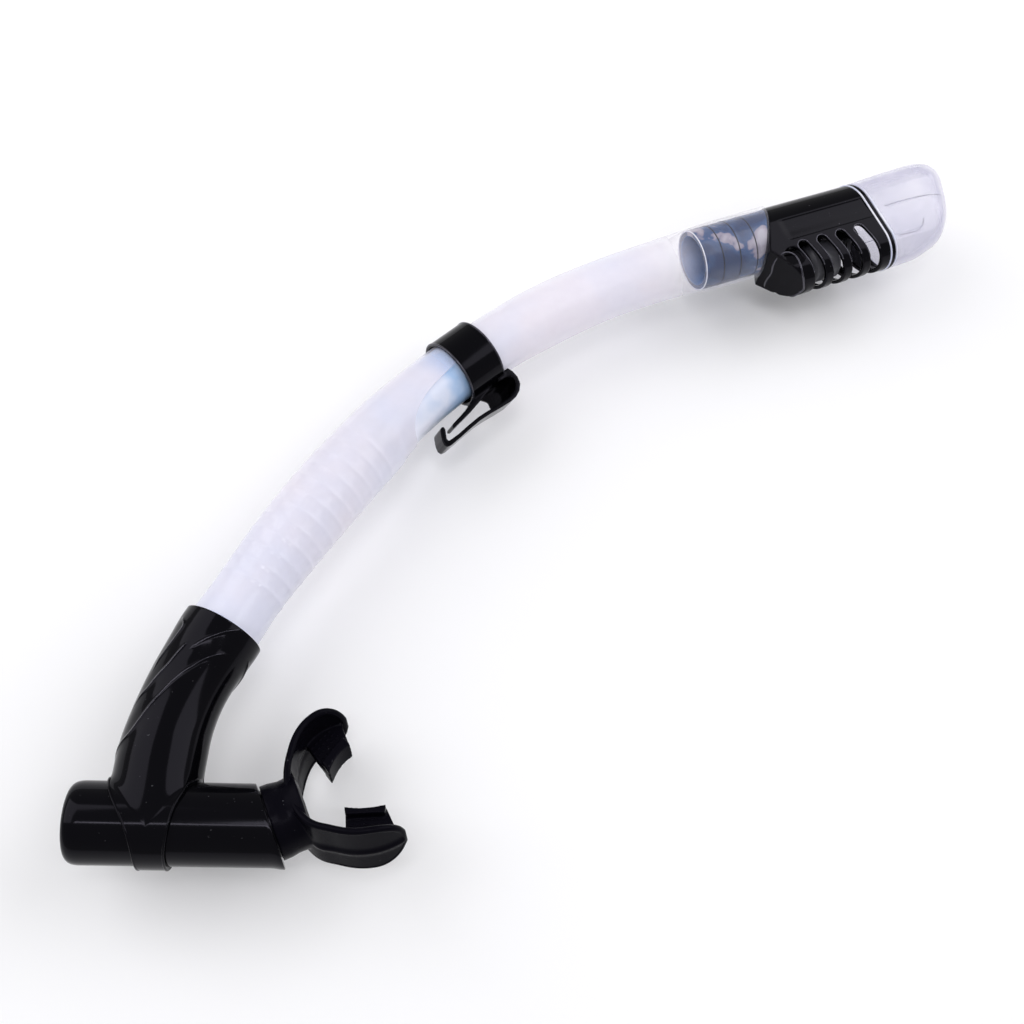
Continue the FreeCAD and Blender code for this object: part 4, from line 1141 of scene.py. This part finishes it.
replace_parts(make_cap(), "top_cap")
# Grey lines along the cap's folds: painted shade of the creases.
for fold_name, fold in FOLDS.items():
    path = np.array([cap_side(x, across) for x, across in spline(fold, 6, closed=False)])
    mirrored_beads("cap_fold_" + fold_name, path, 0.17, cap_fold_shade)
seam_bead("trim_line", 55.75, 1.0, 0.42)
seam_bead("cap_lip", 58.6, 0.985, 0.5)


# ---- pieces that keep their exact shape ----

EXACT = {"purge_cover": satin_black, "purge_seat": satin_black, "valve_seat": satin_black,
         "mouth_collar": satin_black, "purge_diaphragm": silicone_white, "seal_disc": silicone_white,
         "float": float_grey, "float_lever": float_grey, "lever_pin": pin_steel,
         "swivel_o_ring": soft_black}
for name, finish in EXACT.items():
    nodes[name].data.materials.clear()
    nodes[name].data.materials.append(finish)


# ---- floor, light and camera ----

FLOOR_LEVEL = -0.012
FLOOR_HALF = 3
WORLD_STRENGTH = 0.43


def make_floor():
    """Plain pale square under the part."""
    corners = [(x * FLOOR_HALF, y * FLOOR_HALF, 0) for x, y in ((-1, -1), (1, -1), (1, 1), (-1, 1))]
    mesh = bpy.data.meshes.new("floor")
    mesh.from_pydata(corners, [], [(0, 1, 2, 3)])
    obj = bpy.data.objects.new("floor", mesh)
    bpy.context.scene.collection.objects.link(obj)
    obj.location.z = FLOOR_LEVEL
    mesh.materials.append(principled("floor_paint", (0.92, 0.92, 0.93), 0.9, Specular_IOR_Level=0.1)[0])
    return obj


make_floor()

world = bpy.data.worlds.new("studio")
bpy.context.scene.world = world
world.use_nodes = True
backdrop = world.node_tree.nodes["Background"]
backdrop.inputs["Color"].default_value = (1.0, 1.0, 1.0, 1.0)
backdrop.inputs["Strength"].default_value = WORLD_STRENGTH


def soft_light(name, at, width, height, power):
    """Rectangular lamp in metres and watts, aimed at the scene's origin."""
    data = bpy.data.lights.new(name, "AREA")
    data.shape = "RECTANGLE"
    data.size, data.size_y = width, height
    data.energy = power
    data.color = (0.985, 0.98, 1.0)
    lamp = bpy.data.objects.new(name, data)
    bpy.context.scene.collection.objects.link(lamp)
    lamp.location = at
    lamp.rotation_euler = (-Vector(at)).to_track_quat("-Z", "Y").to_euler()


soft_light("strip", (0.0, -0.34, 1.0), 0.9, 0.05, 1.5)
soft_light("key", (-0.1, -0.22, 1.2), 0.3, 0.3, 1.6)
soft_light("left", (-1.1, 0.3, 1.0), 1.4, 1.4, 11)
soft_light("right", (1.1, 0.5, 1.0), 1.4, 1.4, 12)

SENSOR_WIDTH = 36.0
FOCAL_SHARE = 1.19140625  # focal length over the width of the sensor
CAMERA_AT = np.array((83.64, -84.95, 420.14))
CAMERA_FORWARD = Vector((0.0783, 0.4384, -0.8954)).normalized()
CAMERA_UP = Vector((-0.0382, 0.8988, 0.4367))


def make_camera():
    """Camera at the photograph's viewing angle."""
    data = bpy.data.cameras.new("camera")
    data.sensor_width = SENSOR_WIDTH
    data.lens = SENSOR_WIDTH * FOCAL_SHARE
    obj = bpy.data.objects.new("camera", data)
    bpy.context.scene.collection.objects.link(obj)
    right = CAMERA_FORWARD.cross(CAMERA_UP).normalized()
    up = right.cross(CAMERA_FORWARD)
    turn = Matrix((right, up, -CAMERA_FORWARD)).transposed().to_4x4()
    obj.matrix_world = Matrix.Translation((CAMERA_AT - ORIGIN) * MM) @ turn
    return obj


bpy.context.scene.camera = make_camera()
bpy.context.scene.view_settings.view_transform = "Standard"
